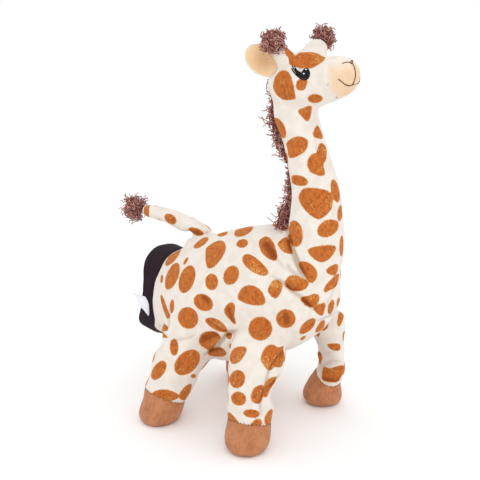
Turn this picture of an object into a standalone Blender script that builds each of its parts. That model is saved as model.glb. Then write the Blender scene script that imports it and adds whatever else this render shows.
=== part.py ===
# Plush giraffe hand puppet, standing on its four stuffed legs.
# Metres, +Z up, the giraffe looks along -Y and its left side is +X.
# Every size below can be changed by itself; shares are fractions of the size they name.

from collections import namedtuple
from math import cos, pi, radians, sin, sqrt, tan

import bmesh
import bpy
from mathutils import Matrix, Vector

# Cloth, seams and running gaps
plush_wall = 0.0016
lining_wall = 0.0012
seam_gap = 0.0003
joint_gap = 0.0005
sole_cut = 0.0005
overrun = 0.030
facet_sides = 8
torso_sides = 12
ball_segments = 24
# depth of the rings of a socket's bowl, as shares of its radius
bowl_shares = (0.985, 0.90, 0.72, 0.48, 0.22, 0.0)
# sections of the wedge that a limb sweeps, along its reach
wedge_shares = (0.5, 1.0)

# Torso, measured from the front feet: lengths along Y, heights along Z
chest_front = -0.046
torso_length = 0.179
torso_height = 0.142
torso_width = 0.102
belly_height = 0.047
# along the length, top and bottom of the height, width
torso_ring_shares = (
    (0.000, 0.700, 0.560, 0.16),
    (0.045, 0.850, 0.420, 0.48),
    (0.130, 0.950, 0.290, 0.75),
    (0.275, 0.990, 0.170, 0.92),
    (0.460, 0.960, 0.050, 1.00),
    (0.650, 0.890, 0.000, 1.01),
    (0.810, 0.810, 0.005, 0.95),
    (0.935, 0.725, 0.040, 0.82),
    (1.000, 0.680, 0.065, 0.72),
    (1.060, 0.650, 0.090, 0.66),
)

# Hand cavity inside the torso, open at the rear
hand_width = 0.076
hand_height = 0.060
# along the torso length, middle height of the torso height, height, width
hand_ring_shares = (
    (0.055, 0.500, 0.16, 0.28),
    (0.130, 0.520, 0.46, 0.56),
    (0.290, 0.570, 0.78, 0.86),
    (0.520, 0.575, 0.98, 1.00),
    (0.730, 0.560, 0.96, 0.94),
    (0.860, 0.475, 1.00, 0.84),
    (1.000, 0.385, 1.26, 0.82),
    (1.240, 0.385, 1.30, 0.82),
)

# Black sleeve standing out of the rear opening
sleeve_length = 0.0185
sleeve_wall = 0.0016
sleeve_flare = 0.003
sleeve_tilt = radians(5)
hem_lap = 0.004
# from the hem to the rim, flare
sleeve_ring_shares = ((0.0, 0.0), (0.45, 0.45), (1.0, 1.0))

# Care label on the sleeve, bare: its seat between the hem and the rim, and below the middle
label_length = 0.016
label_width = 0.013
label_thickness = 0.0012
label_seat_share = 0.14
label_drop_share = 0.06
label_lean = radians(24)

# Neck
neck_base_y = -0.023
neck_base_z = 0.160
neck_rise = 0.138
neck_sway = 0.021
neck_radius = 0.025
neck_swing_back = radians(8)
neck_swing_down = radians(18)
# height of the rise, sway towards the rear, radius
neck_ring_shares = (
    (-0.172, 0.00, 0.36),
    (-0.112, 0.00, 0.80),
    (0.000, 0.00, 1.02),
    (0.180, -0.02, 0.98),
    (0.305, -0.05, 0.87),
    (0.435, 0.00, 0.81),
    (0.560, 0.22, 0.745),
    (0.680, 0.50, 0.70),
    (0.800, 0.79, 0.68),
    (0.900, 1.08, 0.78),
    (1.000, 1.22, 0.78),
)
finger_radius = 0.010
finger_reach = 0.064

# Head, in its own frame about the centre of the skull
skull_radius = 0.0245
skull_y = -0.002
skull_z = 0.3085
head_pitch = radians(-6)
head_roll = radians(-8)
head_yaw = radians(-6)
head_nod = radians(12)
muzzle_reach = 0.0605
muzzle_radius = 0.0182
muzzle_seam = 0.0445
# forward of the skull centre as a share of the reach, rise of the muzzle radius, half width
# and half height of the muzzle radius
face_ring_shares = (
    (0.13, 0.00, 1.36, 1.36),
    (0.38, 0.02, 1.14, 1.14),
    (0.56, 0.06, 0.98, 0.98),
    (0.74, 0.12, 0.99, 0.95),
    (0.90, 0.15, 0.80, 0.75),
    (1.00, 0.13, 0.36, 0.34),
)
# back of the skull: behind its centre, half size, both of the skull radius
skull_ring_shares = (
    (0.98, 0.30),
    (0.72, 0.76),
    (0.26, 1.02),
)

# Horns with yarn tufts
horn_base_radius = 0.0085
horn_top_radius = 0.0062
horn_length = 0.0175
horn_tuft_radius = 0.0105
horn_seat_shares = (0.62, -0.285, 0.73)
left_horn_lean_shares = (0.82, 0.02, 0.57)
right_horn_lean_shares = (0.54, 0.03, 0.84)

# Ears
ear_length = 0.0275
ear_width = 0.0225
ear_thickness = 0.0056
ear_seat_shares = (0.83, 0.16, 0.53)
right_ear_reach_shares = (0.47, 0.38, 0.80)
left_ear_reach_shares = (0.68, 0.60, 0.42)
ear_facing_shares = (0.69, -0.72, 0.0)
# along the length, width, thickness
ear_ring_shares = (
    (-0.07, 0.48, 0.50),
    (0.02, 0.66, 0.82),
    (0.26, 0.96, 1.00),
    (0.58, 1.04, 1.00),
    (0.86, 0.72, 0.86),
    (1.00, 0.26, 0.40),
)

# Embroidered eyes
eye_radius = 0.0062
eye_thickness = 0.0014
eye_seat_shares = (0.59, -0.74, 0.32)

# Mane along the back of the neck and of the skull
mane_half_width = 0.0030
mane_half_depth = 0.0032
mane_ring_shares = (0.262, 0.350, 0.435, 0.560, 0.680, 0.800, 0.885, 0.950)
crest_angle_shares = (-0.20, -0.02, 0.16, 0.32)

# Legs: hip centre and sole centre of the left one, then the radii from the hip down
# slim_shares give the thin way through the knee and the ankle, bow moves the knee out and forward
Leg = namedtuple("Leg", "hip sole ball knee ankle hoof hoof_height slim_shares bow")
front_leg = Leg(hip=(0.043, 0.005, 0.084), sole=(0.063, 0.003, 0.0), ball=0.0245, knee=0.0202,
                ankle=0.0190, hoof=0.0203, hoof_height=0.0255, slim_shares=(0.64, 0.80),
                bow=(0.008, -0.005))
hind_leg = Leg(hip=(0.041, 0.087, 0.075), sole=(0.068, 0.103, 0.0), ball=0.0275, knee=0.0215,
               ankle=0.0178, hoof=0.0198, hoof_height=0.0245, slim_shares=(1.0, 1.0),
               bow=(0.0, 0.0))
leg_seam_turn = radians(37)
leg_swing = radians(15)
knee_share = 0.50
# past the hip centre and size, both of the ball's radius
hip_ring_shares = (
    (-0.98, 0.38),
    (-0.64, 0.84),
    (0.00, 1.06),
)
# down the hoof, of its height, and size, of its radius
hoof_ring_shares = (
    (0.50, 1.00),
    (0.84, 0.95),
    (1.00, 0.58),
)

# Tail with its yarn tuft
tail_root_y = 0.100
tail_root_z = 0.1635
tail_length = 0.0755
tail_rise = 0.0150
tail_root_radius = 0.0092
tail_tip_radius = 0.0062
tail_tuft_radius = 0.0122
tail_drop = radians(10)
# along the length, rise, radius between the tip's and the root's
tail_ring_shares = (
    (-0.110, -0.05, -0.30),
    (-0.062, -0.03, 0.70),
    (0.020, 0.08, 1.02),
    (0.250, 0.52, 0.80),
    (0.520, 0.86, 0.45),
    (0.780, 0.98, 0.18),
    (0.970, 1.00, 0.05),
    (1.000, 1.00, -0.45),
)

# The origin lies under the middle of the whole puppet
tail_end_y = tail_root_y + tail_length + seam_gap + 2 * tail_tuft_radius
muzzle_end_y = skull_y - muzzle_reach
origin_y = (tail_end_y + muzzle_end_y) / 2

Ring = namedtuple("Ring", "centre normal half_x half_v side")
side_axis = Vector((1, 0, 0))
up_axis = Vector((0, 0, 1))


def start_scene():
    for old in list(bpy.data.objects):
        bpy.data.objects.remove(old, do_unlink=True)


def new_collection(name):
    collection = bpy.data.collections.new(name)
    bpy.context.scene.collection.children.link(collection)
    return collection


def cloth(name, colour, roughness):
    material = bpy.data.materials.new(name)
    material.use_nodes = True
    shader = material.node_tree.nodes["Principled BSDF"]
    shader.inputs["Base Color"].default_value = (*colour, 1.0)
    shader.inputs["Roughness"].default_value = roughness
    shader.inputs["Metallic"].default_value = 0.0
    return material


def place(y, z, x=0.0):
    return Vector((x, y - origin_y, z))


def add_object(name, mesh, material):
    obj = bpy.data.objects.new(name, mesh)
    if material is None:
        cutters.objects.link(obj)
        obj.hide_render = True
        obj.display_type = "WIRE"
    else:
        giraffe.objects.link(obj)
        mesh.materials.append(material)
    return obj


def polygon_swell(sides):
    return 1 / (2 / 3 + cos(2 * pi / sides) / 3)


def settled(rings):
    # where a smoothed cage comes to rest: each ring drawn towards its two neighbours
    result = []
    for index, ring in enumerate(rings):
        before = rings[max(index - 1, 0)]
        after = rings[min(index + 1, len(rings) - 1)]
        before_open = 1 if index > 0 else 0
        after_open = 1 if index < len(rings) - 1 else 0
        result.append(Ring(
            (before.centre + 4 * ring.centre + after.centre) / 6,
            ring.normal,
            (before_open * before.half_x + 4 * ring.half_x + after_open * after.half_x) / 6,
            (before_open * before.half_v + 4 * ring.half_v + after_open * after.half_v) / 6,
            ring.side,
        ))
    return result


def inset_rings(rings, inset):
    result = []
    last = len(rings) - 1
    for index, ring in enumerate(rings):
        shift = inset if index == 0 else -inset if index == last else 0.0
        half_x = max(ring.half_x - inset, ring.half_x / 4)
        half_v = max(ring.half_v - inset, ring.half_v / 4)
        result.append(Ring(ring.centre + ring.normal * shift, ring.normal, half_x, half_v, ring.side))
    return result


def loft_mesh(name, rings, sides, swell=1.0, plain=True):
    # plain lofts are split into triangles alike, so that nested ones keep their gap
    bm = bmesh.new()
    loops = []
    for ring in rings:
        across = (ring.side - ring.normal * ring.side.dot(ring.normal)).normalized()
        along = ring.normal.cross(across)
        loop = []
        for index in range(sides):
            angle = 2 * pi * (index + 0.5) / sides
            reach_x = across * ring.half_x * swell * cos(angle)
            reach_v = along * ring.half_v * swell * sin(angle)
            loop.append(bm.verts.new(ring.centre + reach_x + reach_v))
        loops.append(loop)
    for lower, upper in zip(loops, loops[1:]):
        for index in range(sides):
            following = (index + 1) % sides
            bm.faces.new((lower[index], lower[following], upper[following], upper[index]))
    bm.faces.new(reversed(loops[0]))
    bm.faces.new(loops[-1])
    bmesh.ops.recalc_face_normals(bm, faces=bm.faces)
    if plain:
        bmesh.ops.triangulate(bm, faces=bm.faces, quad_method="FIXED")
    mesh = bpy.data.meshes.new(name)
    bm.to_mesh(mesh)
    bm.free()
    return mesh


def stuffed_form(name, rings, sides, material):
    # a coarse cage that Subdivision Surface swells into the stuffed outer form
    obj = add_object(name, loft_mesh(name, rings, sides, polygon_swell(sides), False), material)
    obj.data.shade_smooth()
    soften = obj.modifiers.new("soften", "SUBSURF")
    soften.levels = 1
    soften.render_levels = 1
    return obj


def core_form(name, rings, sides, inset, material=None):
    # a plain faceted core that stays inside the stuffed form by the inset
    return add_object(name, loft_mesh(name, inset_rings(settled(rings), inset), sides), material)


def cut(obj, cutter, operation="DIFFERENCE"):
    modifier = obj.modifiers.new(cutter.name, "BOOLEAN")
    modifier.operation = operation
    modifier.object = cutter
    modifier.solver = "EXACT"


def ball(name, centre, radius, segments, material=None):
    bm = bmesh.new()
    bmesh.ops.create_uvsphere(bm, u_segments=segments, v_segments=segments // 2, radius=radius)
    mesh = bpy.data.meshes.new(name)
    bm.to_mesh(mesh)
    bm.free()
    obj = add_object(name, mesh, material)
    obj.matrix_world = Matrix.Translation(centre) @ Matrix.Rotation(pi / segments, 4, "Z")
    return obj


def block(name, centre, normal, sizes, material=None):
    # a box whose own Z runs along the normal
    bm = bmesh.new()
    bmesh.ops.create_cube(bm, size=1.0, matrix=Matrix.Diagonal((*sizes, 1.0)))
    mesh = bpy.data.meshes.new(name)
    bm.to_mesh(mesh)
    bm.free()
    obj = add_object(name, mesh, material)
    turn = normal.to_track_quat("Z", "X").to_matrix().to_4x4()
    obj.matrix_world = Matrix.Translation(centre) @ turn
    return obj


def rod(name, low, high, radius, segments, material=None, top_radius=None):
    bm = bmesh.new()
    length = (high - low).length
    far_radius = radius if top_radius is None else top_radius
    bmesh.ops.create_cone(bm, cap_ends=True, segments=segments, radius1=radius,
                          radius2=far_radius, depth=length)
    mesh = bpy.data.meshes.new(name)
    bm.to_mesh(mesh)
    bm.free()
    obj = add_object(name, mesh, material)
    turn = (high - low).to_track_quat("Z", "X").to_matrix().to_4x4()
    obj.matrix_world = (Matrix.Translation((low + high) / 2) @ turn
                        @ Matrix.Rotation(pi / segments, 4, "Z"))
    return obj


def torso_rings():
    rings = []
    for along, top, bottom, width in torso_ring_shares:
        y = chest_front + along * torso_length
        middle = belly_height + (top + bottom) / 2 * torso_height
        half_height = (top - bottom) / 2 * torso_height
        rings.append(Ring(place(y, middle), Vector((0, 1, 0)), width * torso_width / 2,
                          half_height, side_axis))
    return rings


def hand_rings(grow):
    rings = []
    for along, middle, height, width in hand_ring_shares:
        y = chest_front + along * torso_length
        z = belly_height + middle * torso_height
        rings.append(Ring(place(y, z), Vector((0, 1, 0)), width * hand_width / 2 + grow,
                          height * hand_height / 2 + grow, side_axis))
    first = rings[0]
    rings[0] = first._replace(centre=first.centre - Vector((0, grow, 0)))
    return rings


def neck_rings():
    points = [place(neck_base_y + sway * neck_sway, neck_base_z + rise * neck_rise)
              for rise, sway, radius in neck_ring_shares]
    rings = []
    for index, (rise, sway, radius) in enumerate(neck_ring_shares):
        ahead = points[min(index + 1, len(points) - 1)]
        behind = points[max(index - 1, 0)]
        rings.append(Ring(points[index], (ahead - behind).normalized(), radius * neck_radius,
                          radius * neck_radius, side_axis))
    return rings


def head_rings():
    rings = []
    for behind, size in skull_ring_shares:
        rings.append(Ring(Vector((0, behind * skull_radius, 0)), Vector((0, -1, 0)),
                          size * skull_radius, size * skull_radius, side_axis))
    for forward, rise, half_x, half_z in face_ring_shares:
        centre = Vector((0, -forward * muzzle_reach, rise * muzzle_radius))
        rings.append(Ring(centre, Vector((0, -1, 0)), half_x * muzzle_radius,
                          half_z * muzzle_radius, side_axis))
    return rings


def leg_rings(leg, side):
    hip = place(leg.hip[1], leg.hip[2], side * leg.hip[0])
    sole = place(leg.sole[1], leg.sole[2], side * leg.sole[0])
    down = (sole - hip).normalized()
    reach = (sole - hip).length
    hoof_start = reach - leg.hoof_height / abs(down.z)
    wide = Vector((-side * sin(leg_seam_turn), -cos(leg_seam_turn), 0))
    knee_slim, ankle_slim = leg.slim_shares
    knee_bow = Vector((side * leg.bow[0], leg.bow[1], 0))
    rows = [(along * leg.ball, size * leg.ball, 1) for along, size in hip_ring_shares]
    rows += [(knee_share * reach, leg.knee, knee_slim), (hoof_start, leg.ankle, ankle_slim)]
    hoof_reach = reach + 2 * sole_cut - hoof_start
    rows += [(hoof_start + along * hoof_reach, size * leg.hoof, 1)
             for along, size in hoof_ring_shares]
    last_above = len(rows) - len(hoof_ring_shares) - 1
    rings = []
    for index, (along, radius, slim) in enumerate(rows):
        level = max(index - last_above, 0) / len(hoof_ring_shares)
        normal = down.lerp(-up_axis, level).normalized()
        centre = hip + down * along
        if index == len(hip_ring_shares):
            centre += knee_bow
        rings.append(Ring(centre, normal, radius, radius * slim, wide))
    return rings, hip, down, hoof_start


def tail_rings():
    points = [place(tail_root_y + along * tail_length, tail_root_z + rise * tail_rise)
              for along, rise, swell in tail_ring_shares]
    rings = []
    for index, (along, rise, swell) in enumerate(tail_ring_shares):
        ahead = points[min(index + 1, len(points) - 1)]
        behind = points[max(index - 1, 0)]
        radius = tail_tip_radius + swell * (tail_root_radius - tail_tip_radius)
        rings.append(Ring(points[index], (ahead - behind).normalized(), radius, radius, side_axis))
    return rings


def swing_socket(name, pivot, direction, near_radius, far_radius, reach, swing_low, swing_high):
    # the room that a limb needs: a bowl around its ball, then the wedge that it sweeps
    spread = 1 / cos(pi / ball_segments) ** 2
    rings = []
    for share in bowl_shares:
        depth = share * (near_radius + joint_gap) * spread
        radius = sqrt(1 - share * share) * (near_radius + joint_gap) * spread
        rings.append(Ring(pivot - direction * depth, direction, radius, radius, side_axis))
    for share in wedge_shares:
        distance = share * reach
        radius = (near_radius + share * (far_radius - near_radius) + 2 * joint_gap) * spread
        back = distance * tan(swing_high)
        ahead = distance * tan(swing_low)
        middle = pivot + direction * distance + Vector((0, (back - ahead) / 2, 0))
        rings.append(Ring(middle, direction, radius, radius + (back + ahead) / 2, side_axis))
    return add_object(name, loft_mesh(name, rings, ball_segments), None)


def nod_room(turn):
    # what the head needs as it nods: a ball round its back, then the arc that the jaw sweeps
    spread = 1 / cos(pi / ball_segments) ** 2
    rings = []
    for share in bowl_shares[:-1]:
        depth = share * (skull_radius + joint_gap) * spread
        radius = sqrt(1 - share * share) * (skull_radius + joint_gap) * spread
        rings.append(Ring(Vector((0, depth, 0)), Vector((0, -1, 0)), radius, radius, side_axis))
    jaw = [ring for ring in settled(head_rings()) if ring.centre.y < 0]
    for ring in jaw:
        sweep = abs(ring.centre.y) * tan(head_nod)
        rings.append(Ring(ring.centre, ring.normal, (ring.half_x + joint_gap) * spread,
                          (ring.half_v + joint_gap) * spread + sweep, side_axis))
    room = add_object("nod_room", loft_mesh("nod_room", rings, ball_segments), None)
    room.matrix_world = turn
    return room


def hang(pivot, pieces):
    for piece in pieces:
        piece.parent = pivot
        piece.matrix_parent_inverse = pivot.matrix_world.inverted()


def new_pivot(name, matrix, carrier_name=None):
    pivot = bpy.data.objects.new(name, None)
    giraffe.objects.link(pivot)
    pivot.matrix_world = matrix
    if carrier_name is not None:
        hang(giraffe.objects[carrier_name], (pivot,))
    return pivot


def build_leg(leg, side, title):
    rings, hip, down, hoof_start = leg_rings(leg, side)
    core = core_form(f"leg_core_{title}", rings, facet_sides, plush_wall)
    ankle = hip + down * hoof_start
    span = 4 * leg.hoof
    below = block(f"below_ankle_{title}", ankle + down * (span - seam_gap) / 2, down,
                  (span, span, span))
    above = block(f"above_ankle_{title}", ankle - down * (2 * span - seam_gap / 2), down,
                  (span, span, 4 * span))
    floor = block(f"floor_{title}", Vector((ankle.x, ankle.y, -overrun / 2)), up_axis,
                  (span, span, overrun))
    skin = stuffed_form(f"leg_skin_{title}", rings, facet_sides, spotted_plush)
    cut(skin, core)
    cut(skin, below)
    hoof = stuffed_form(f"hoof_{title}", rings, facet_sides, hoof_cloth)
    cut(hoof, core)
    cut(hoof, above)
    cut(hoof, floor)
    stuffing = core_form(f"leg_stuffing_{title}", rings, facet_sides, plush_wall + seam_gap, wadding)
    hang(new_pivot(f"hip_{title}", Matrix.Translation(hip)), (skin, hoof, stuffing))
    return swing_socket(f"hip_socket_{title}", hip, down, leg.ball, leg.knee, knee_share * hip.z,
                        leg_swing, leg_swing)


def build_tail():
    rings = tail_rings()
    root = place(tail_root_y, tail_root_z)
    core = core_form("tail_core", rings, facet_sides, plush_wall)
    filling_hole = rod("tail_filling_hole", root, root - Vector((0, overrun, 0)),
                       tail_root_radius / 3, facet_sides)
    skin = stuffed_form("tail_skin", rings, facet_sides, spotted_plush)
    cut(skin, core)
    cut(skin, filling_hole)
    stuffing = core_form("tail_stuffing", rings, facet_sides, plush_wall + seam_gap, wadding)
    tip = rings[-1].centre
    tuft = ball("tail_tuft", tip + Vector((0, tail_tuft_radius + seam_gap, 0)), tail_tuft_radius,
                facet_sides * 2, yarn)
    hang(new_pivot("tail_pivot", Matrix.Translation(root)), (skin, stuffing, tuft))
    dropped = Vector((0, cos(tail_drop), -sin(tail_drop)))
    return swing_socket("tail_socket", root, dropped, tail_root_radius, tail_root_radius,
                        tail_length, 0.0, 0.0)


def build_neck(skull_clearance):
    rings = neck_rings()
    base = place(neck_base_y, neck_base_z)
    core = core_form("neck_core", rings, facet_sides, plush_wall)
    pocket_foot = base - up_axis * (neck_radius + overrun)
    pocket_top = base + up_axis * finger_reach
    wide_pocket = rod("wide_finger_pocket", pocket_foot, pocket_top + up_axis * lining_wall,
                      finger_radius + lining_wall + seam_gap, 2 * facet_sides)
    pocket = rod("finger_pocket", pocket_foot, pocket_top, finger_radius, 2 * facet_sides)
    pocket_mouth = base - up_axis * sqrt(neck_radius ** 2 - (finger_radius + lining_wall) ** 2)
    skin = stuffed_form("neck_skin", rings, facet_sides, spotted_plush)
    stuffing = core_form("neck_stuffing", rings, facet_sides, plush_wall + seam_gap, wadding)
    lining = rod("finger_lining", pocket_mouth, pocket_top + up_axis * (lining_wall - seam_gap),
                 finger_radius + lining_wall, 2 * facet_sides, black_cloth)
    cut(skin, core)
    cut(skin, wide_pocket)
    cut(skin, skull_clearance)
    cut(stuffing, wide_pocket)
    cut(stuffing, skull_clearance)
    cut(lining, pocket)
    mane = build_neck_mane()
    hang(new_pivot("neck_pivot", Matrix.Translation(base)), (skin, stuffing, lining, mane))
    return swing_socket("neck_socket", base, up_axis, neck_radius, neck_radius, neck_rise / 2,
                        neck_swing_down, neck_swing_back)


def build_neck_mane():
    # a plain ridge for the yarn fringe behind the neck
    spine = neck_rings()
    rings = []
    for share in mane_ring_shares:
        height = place(0, neck_base_z + share * neck_rise).z
        upper = next(ring for ring in spine if ring.centre.z >= height)
        lower = spine[spine.index(upper) - 1]
        blend = (height - lower.centre.z) / (upper.centre.z - lower.centre.z)
        centre = lower.centre.lerp(upper.centre, blend)
        normal = lower.normal.lerp(upper.normal, blend).normalized()
        radius = lower.half_x + blend * (upper.half_x - lower.half_x)
        behind = side_axis.cross(normal) * -1
        rings.append(Ring(centre + behind * (radius + 2 * seam_gap + mane_half_depth), normal,
                          mane_half_width, mane_half_depth, side_axis))
    return add_object("neck_mane", loft_mesh("neck_mane", rings, facet_sides), yarn)


def build_head(turn):
    rings = head_rings()
    core = core_form("head_core", rings, torso_sides, plush_wall)
    core.matrix_world = turn
    seam = turn @ Vector((0, -muzzle_seam, 0))
    forward = turn.to_3x3() @ Vector((0, -1, 0))
    span = 4 * skull_radius
    ahead = block("ahead_of_seam", seam + forward * (span - seam_gap) / 2, forward, (span,) * 3)
    behind = block("behind_seam", seam - forward * (span - seam_gap) / 2, forward, (span,) * 3)
    skin = stuffed_form("head_skin", rings, torso_sides, spotted_plush)
    muzzle = stuffed_form("muzzle_skin", rings, torso_sides, muzzle_cloth)
    stuffing = core_form("head_stuffing", rings, torso_sides, plush_wall + seam_gap, wadding)
    for piece in (skin, muzzle, stuffing):
        piece.matrix_world = turn
    cut(skin, core)
    cut(skin, ahead)
    cut(muzzle, core)
    cut(muzzle, behind)
    bulk = stuffed_form("head_bulk", inset_rings(rings, -seam_gap), torso_sides, None)
    bulk.matrix_world = turn
    thread_room = stuffed_form("eye_thread_room", inset_rings(rings, -seam_gap - eye_thickness),
                               torso_sides, None)
    thread_room.matrix_world = turn
    pieces = [skin, muzzle, stuffing]
    for side, side_name, lean_shares in ((1, "left", left_horn_lean_shares),
                                         (-1, "right", right_horn_lean_shares)):
        pieces += build_horn(side, side_name, lean_shares, turn, bulk)
        pieces.append(build_eye(side, side_name, turn, bulk, thread_room))
    pieces.append(build_crest(turn))
    hang(new_pivot("head_pivot", turn, "neck_pivot"), pieces)


def mirrored(shares, side):
    return Vector((side * shares[0], shares[1], shares[2])).normalized()


def build_horn(side, side_name, lean_shares, turn, bulk):
    seat = mirrored(horn_seat_shares, side) * skull_radius
    lean = mirrored(lean_shares, side)
    foot = turn @ (seat - lean * horn_base_radius)
    top = turn @ (seat + lean * horn_length)
    horn = rod(f"horn_{side_name}", foot, top, horn_base_radius, 2 * facet_sides, spotted_plush,
               horn_top_radius)
    cut(horn, bulk)
    tuft_centre = turn @ (seat + lean * (horn_length + horn_tuft_radius / 2))
    tuft = ball(f"horn_tuft_{side_name}", tuft_centre, horn_tuft_radius, 2 * facet_sides, yarn)
    tip = rod(f"horn_tip_room_{side_name}", foot, top + (top - foot).normalized() * seam_gap,
              horn_base_radius + seam_gap, 2 * facet_sides, None, horn_top_radius + seam_gap)
    cut(tuft, tip)
    return [horn, tuft]


def build_eye(side, side_name, turn, bulk, thread_room):
    # a thin embroidered patch that lies on the cheek
    outward = mirrored(eye_seat_shares, side)
    eye = rod(f"eye_{side_name}", turn @ (outward * skull_radius / 2),
              turn @ (outward * 2 * skull_radius), eye_radius, 2 * facet_sides, thread)
    cut(eye, thread_room, "INTERSECT")
    cut(eye, bulk)
    return eye


def build_crest(turn):
    # the top end of the mane, up the back of the skull
    rings = []
    for share in crest_angle_shares:
        angle = share * pi / 2
        outward = Vector((0, cos(angle), sin(angle)))
        along = Vector((0, -sin(angle), cos(angle)))
        rings.append(Ring(turn @ (outward * (skull_radius + seam_gap + mane_half_depth)),
                          turn.to_3x3() @ along, mane_half_width, mane_half_depth,
                          turn.to_3x3() @ side_axis))
    return add_object("head_mane", loft_mesh("head_mane", rings, facet_sides), yarn)


def build_ear(side, side_name, reach_shares, turn):
    reach = mirrored(reach_shares, side)
    facing = mirrored(ear_facing_shares, side)
    facing = (facing - reach * facing.dot(reach)).normalized()
    across = reach.cross(facing)
    seat = mirrored(ear_seat_shares, side) * (skull_radius + ear_thickness / 2)
    spin = turn.to_3x3()
    rings = []
    for along, width, thick in ear_ring_shares:
        rings.append(Ring(turn @ (seat + reach * along * ear_length), spin @ reach,
                          width * ear_width / 2, thick * ear_thickness / 2, spin @ across))
    middle = turn @ (seat + reach * ear_length / 2)
    span = 2 * ear_length
    normal = spin @ facing
    front = block(f"ear_front_{side_name}", middle + normal * (span - seam_gap) / 2, normal,
                  (span,) * 3)
    back = block(f"ear_back_{side_name}", middle - normal * (span - seam_gap) / 2, normal,
                 (span,) * 3)
    shell = stuffed_form(f"ear_{side_name}", rings, facet_sides, spotted_plush)
    cut(shell, front)
    lining = stuffed_form(f"ear_lining_{side_name}", rings, facet_sides, ear_cloth)
    cut(lining, back)
    pivot = new_pivot(f"ear_pivot_{side_name}", Matrix.Translation(turn @ seat), "head_pivot")
    hang(pivot, (shell, lining))


def sleeve_rings(inset):
    # from inside the hem to the flared rim of the black sleeve
    hem = settled(torso_rings())[-2]
    room = plush_wall + seam_gap + inset
    tilt = Vector((0, cos(sleeve_tilt), sin(sleeve_tilt)))
    inside = hem.centre - Vector((0, hem_lap, 0))
    rings = [Ring(inside, hem.normal, hem.half_x - room, hem.half_v - room, side_axis)]
    for along, flare in sleeve_ring_shares:
        centre = hem.centre + Vector((0, along * sleeve_length, 0))
        normal = hem.normal.lerp(tilt, along).normalized()
        spread = flare * sleeve_flare - room
        rings.append(Ring(centre, normal, hem.half_x + spread, hem.half_v + spread, side_axis))
    return rings


def build_sleeve():
    rings = sleeve_rings(0.0)
    inner = sleeve_rings(sleeve_wall)
    inner[0] = inner[0]._replace(centre=inner[0].centre - Vector((0, overrun, 0)))
    inner[-1] = inner[-1]._replace(centre=inner[-1].centre + inner[-1].normal * overrun)
    room = add_object("sleeve_room", loft_mesh("sleeve_room", inner, torso_sides), None)
    cuff = add_object("sleeve_cuff", loft_mesh("sleeve_cuff", rings, torso_sides), black_cloth)
    cut(cuff, room)
    build_label(rings)
    return cuff, rings[0].centre


def build_label(rings):
    # a folded ribbon that stands out of the sleeve's right side
    outward = Vector((-cos(label_lean), sin(label_lean), 0))
    middle = rings[1].centre.lerp(rings[-1].centre, label_seat_share)
    half_x = rings[1].half_x + label_seat_share * (rings[-1].half_x - rings[1].half_x)
    half_v = rings[1].half_v + label_seat_share * (rings[-1].half_v - rings[1].half_v)
    facet = cos(pi / torso_sides)
    seat = middle - side_axis * half_x * facet - up_axis * label_drop_share * half_v
    standing = label_length / 2 + label_thickness / 2 + seam_gap
    block("sleeve_label", seat + outward * standing, outward,
          (label_width, label_thickness, label_length), label_cloth)


def build_torso(sockets):
    rings = torso_rings()
    core = core_form("torso_core", rings, torso_sides, plush_wall)
    hem = settled(rings)[-2]
    behind_hem = block("behind_hem", hem.centre + Vector((0, overrun, 0)), Vector((0, 1, 0)),
                       (2 * torso_width, 2 * torso_height, 2 * overrun))
    cuff, front_edge = build_sleeve()
    behind_cuff = block("behind_cuff_edge", front_edge + Vector((0, overrun - seam_gap, 0)),
                        Vector((0, 1, 0)), (2 * torso_width, 2 * torso_height, 2 * overrun))
    outer_room = add_object("lining_room", loft_mesh("lining_room", hand_rings(lining_wall + seam_gap),
                                                     torso_sides), None)
    inner_room = add_object("hand_room", loft_mesh("hand_room", hand_rings(0.0), torso_sides), None)
    finger_way = rod("finger_way", place(neck_base_y, neck_base_z - neck_radius - overrun / 2),
                     place(neck_base_y, neck_base_z), finger_radius + 2 * joint_gap, 2 * facet_sides)
    skin = stuffed_form("torso_skin", rings, torso_sides, spotted_plush)
    cut(skin, core)
    cut(skin, behind_hem)
    padding = core_form("torso_padding", rings, torso_sides, plush_wall + seam_gap, wadding)
    cut(padding, outer_room)
    cut(padding, behind_cuff)
    cut(padding, finger_way)
    lining = add_object("hand_lining", loft_mesh("hand_lining", hand_rings(lining_wall), torso_sides),
                        black_cloth)
    cut(lining, inner_room)
    cut(lining, behind_cuff)
    cut(lining, finger_way)
    for socket in sockets:
        cut(skin, socket)
        cut(padding, socket)
    cut(lining, sockets[-1])


start_scene()
giraffe = new_collection("plush_giraffe")
cutters = new_collection("cutters")
spotted_plush = cloth("spotted_plush", (0.90, 0.85, 0.76), 0.95)
hoof_cloth = cloth("hoof_cloth", (0.58, 0.27, 0.13), 0.95)
muzzle_cloth = cloth("muzzle_cloth", (0.90, 0.66, 0.42), 0.95)
ear_cloth = cloth("ear_cloth", (0.84, 0.52, 0.24), 0.95)
yarn = cloth("yarn", (0.20, 0.07, 0.06), 0.9)
black_cloth = cloth("black_cloth", (0.013, 0.010, 0.012), 0.7)
label_cloth = cloth("label_cloth", (0.85, 0.86, 0.90), 0.6)
wadding = cloth("wadding", (0.88, 0.88, 0.86), 1.0)
thread = cloth("thread", (0.010, 0.009, 0.009), 0.35)

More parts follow.
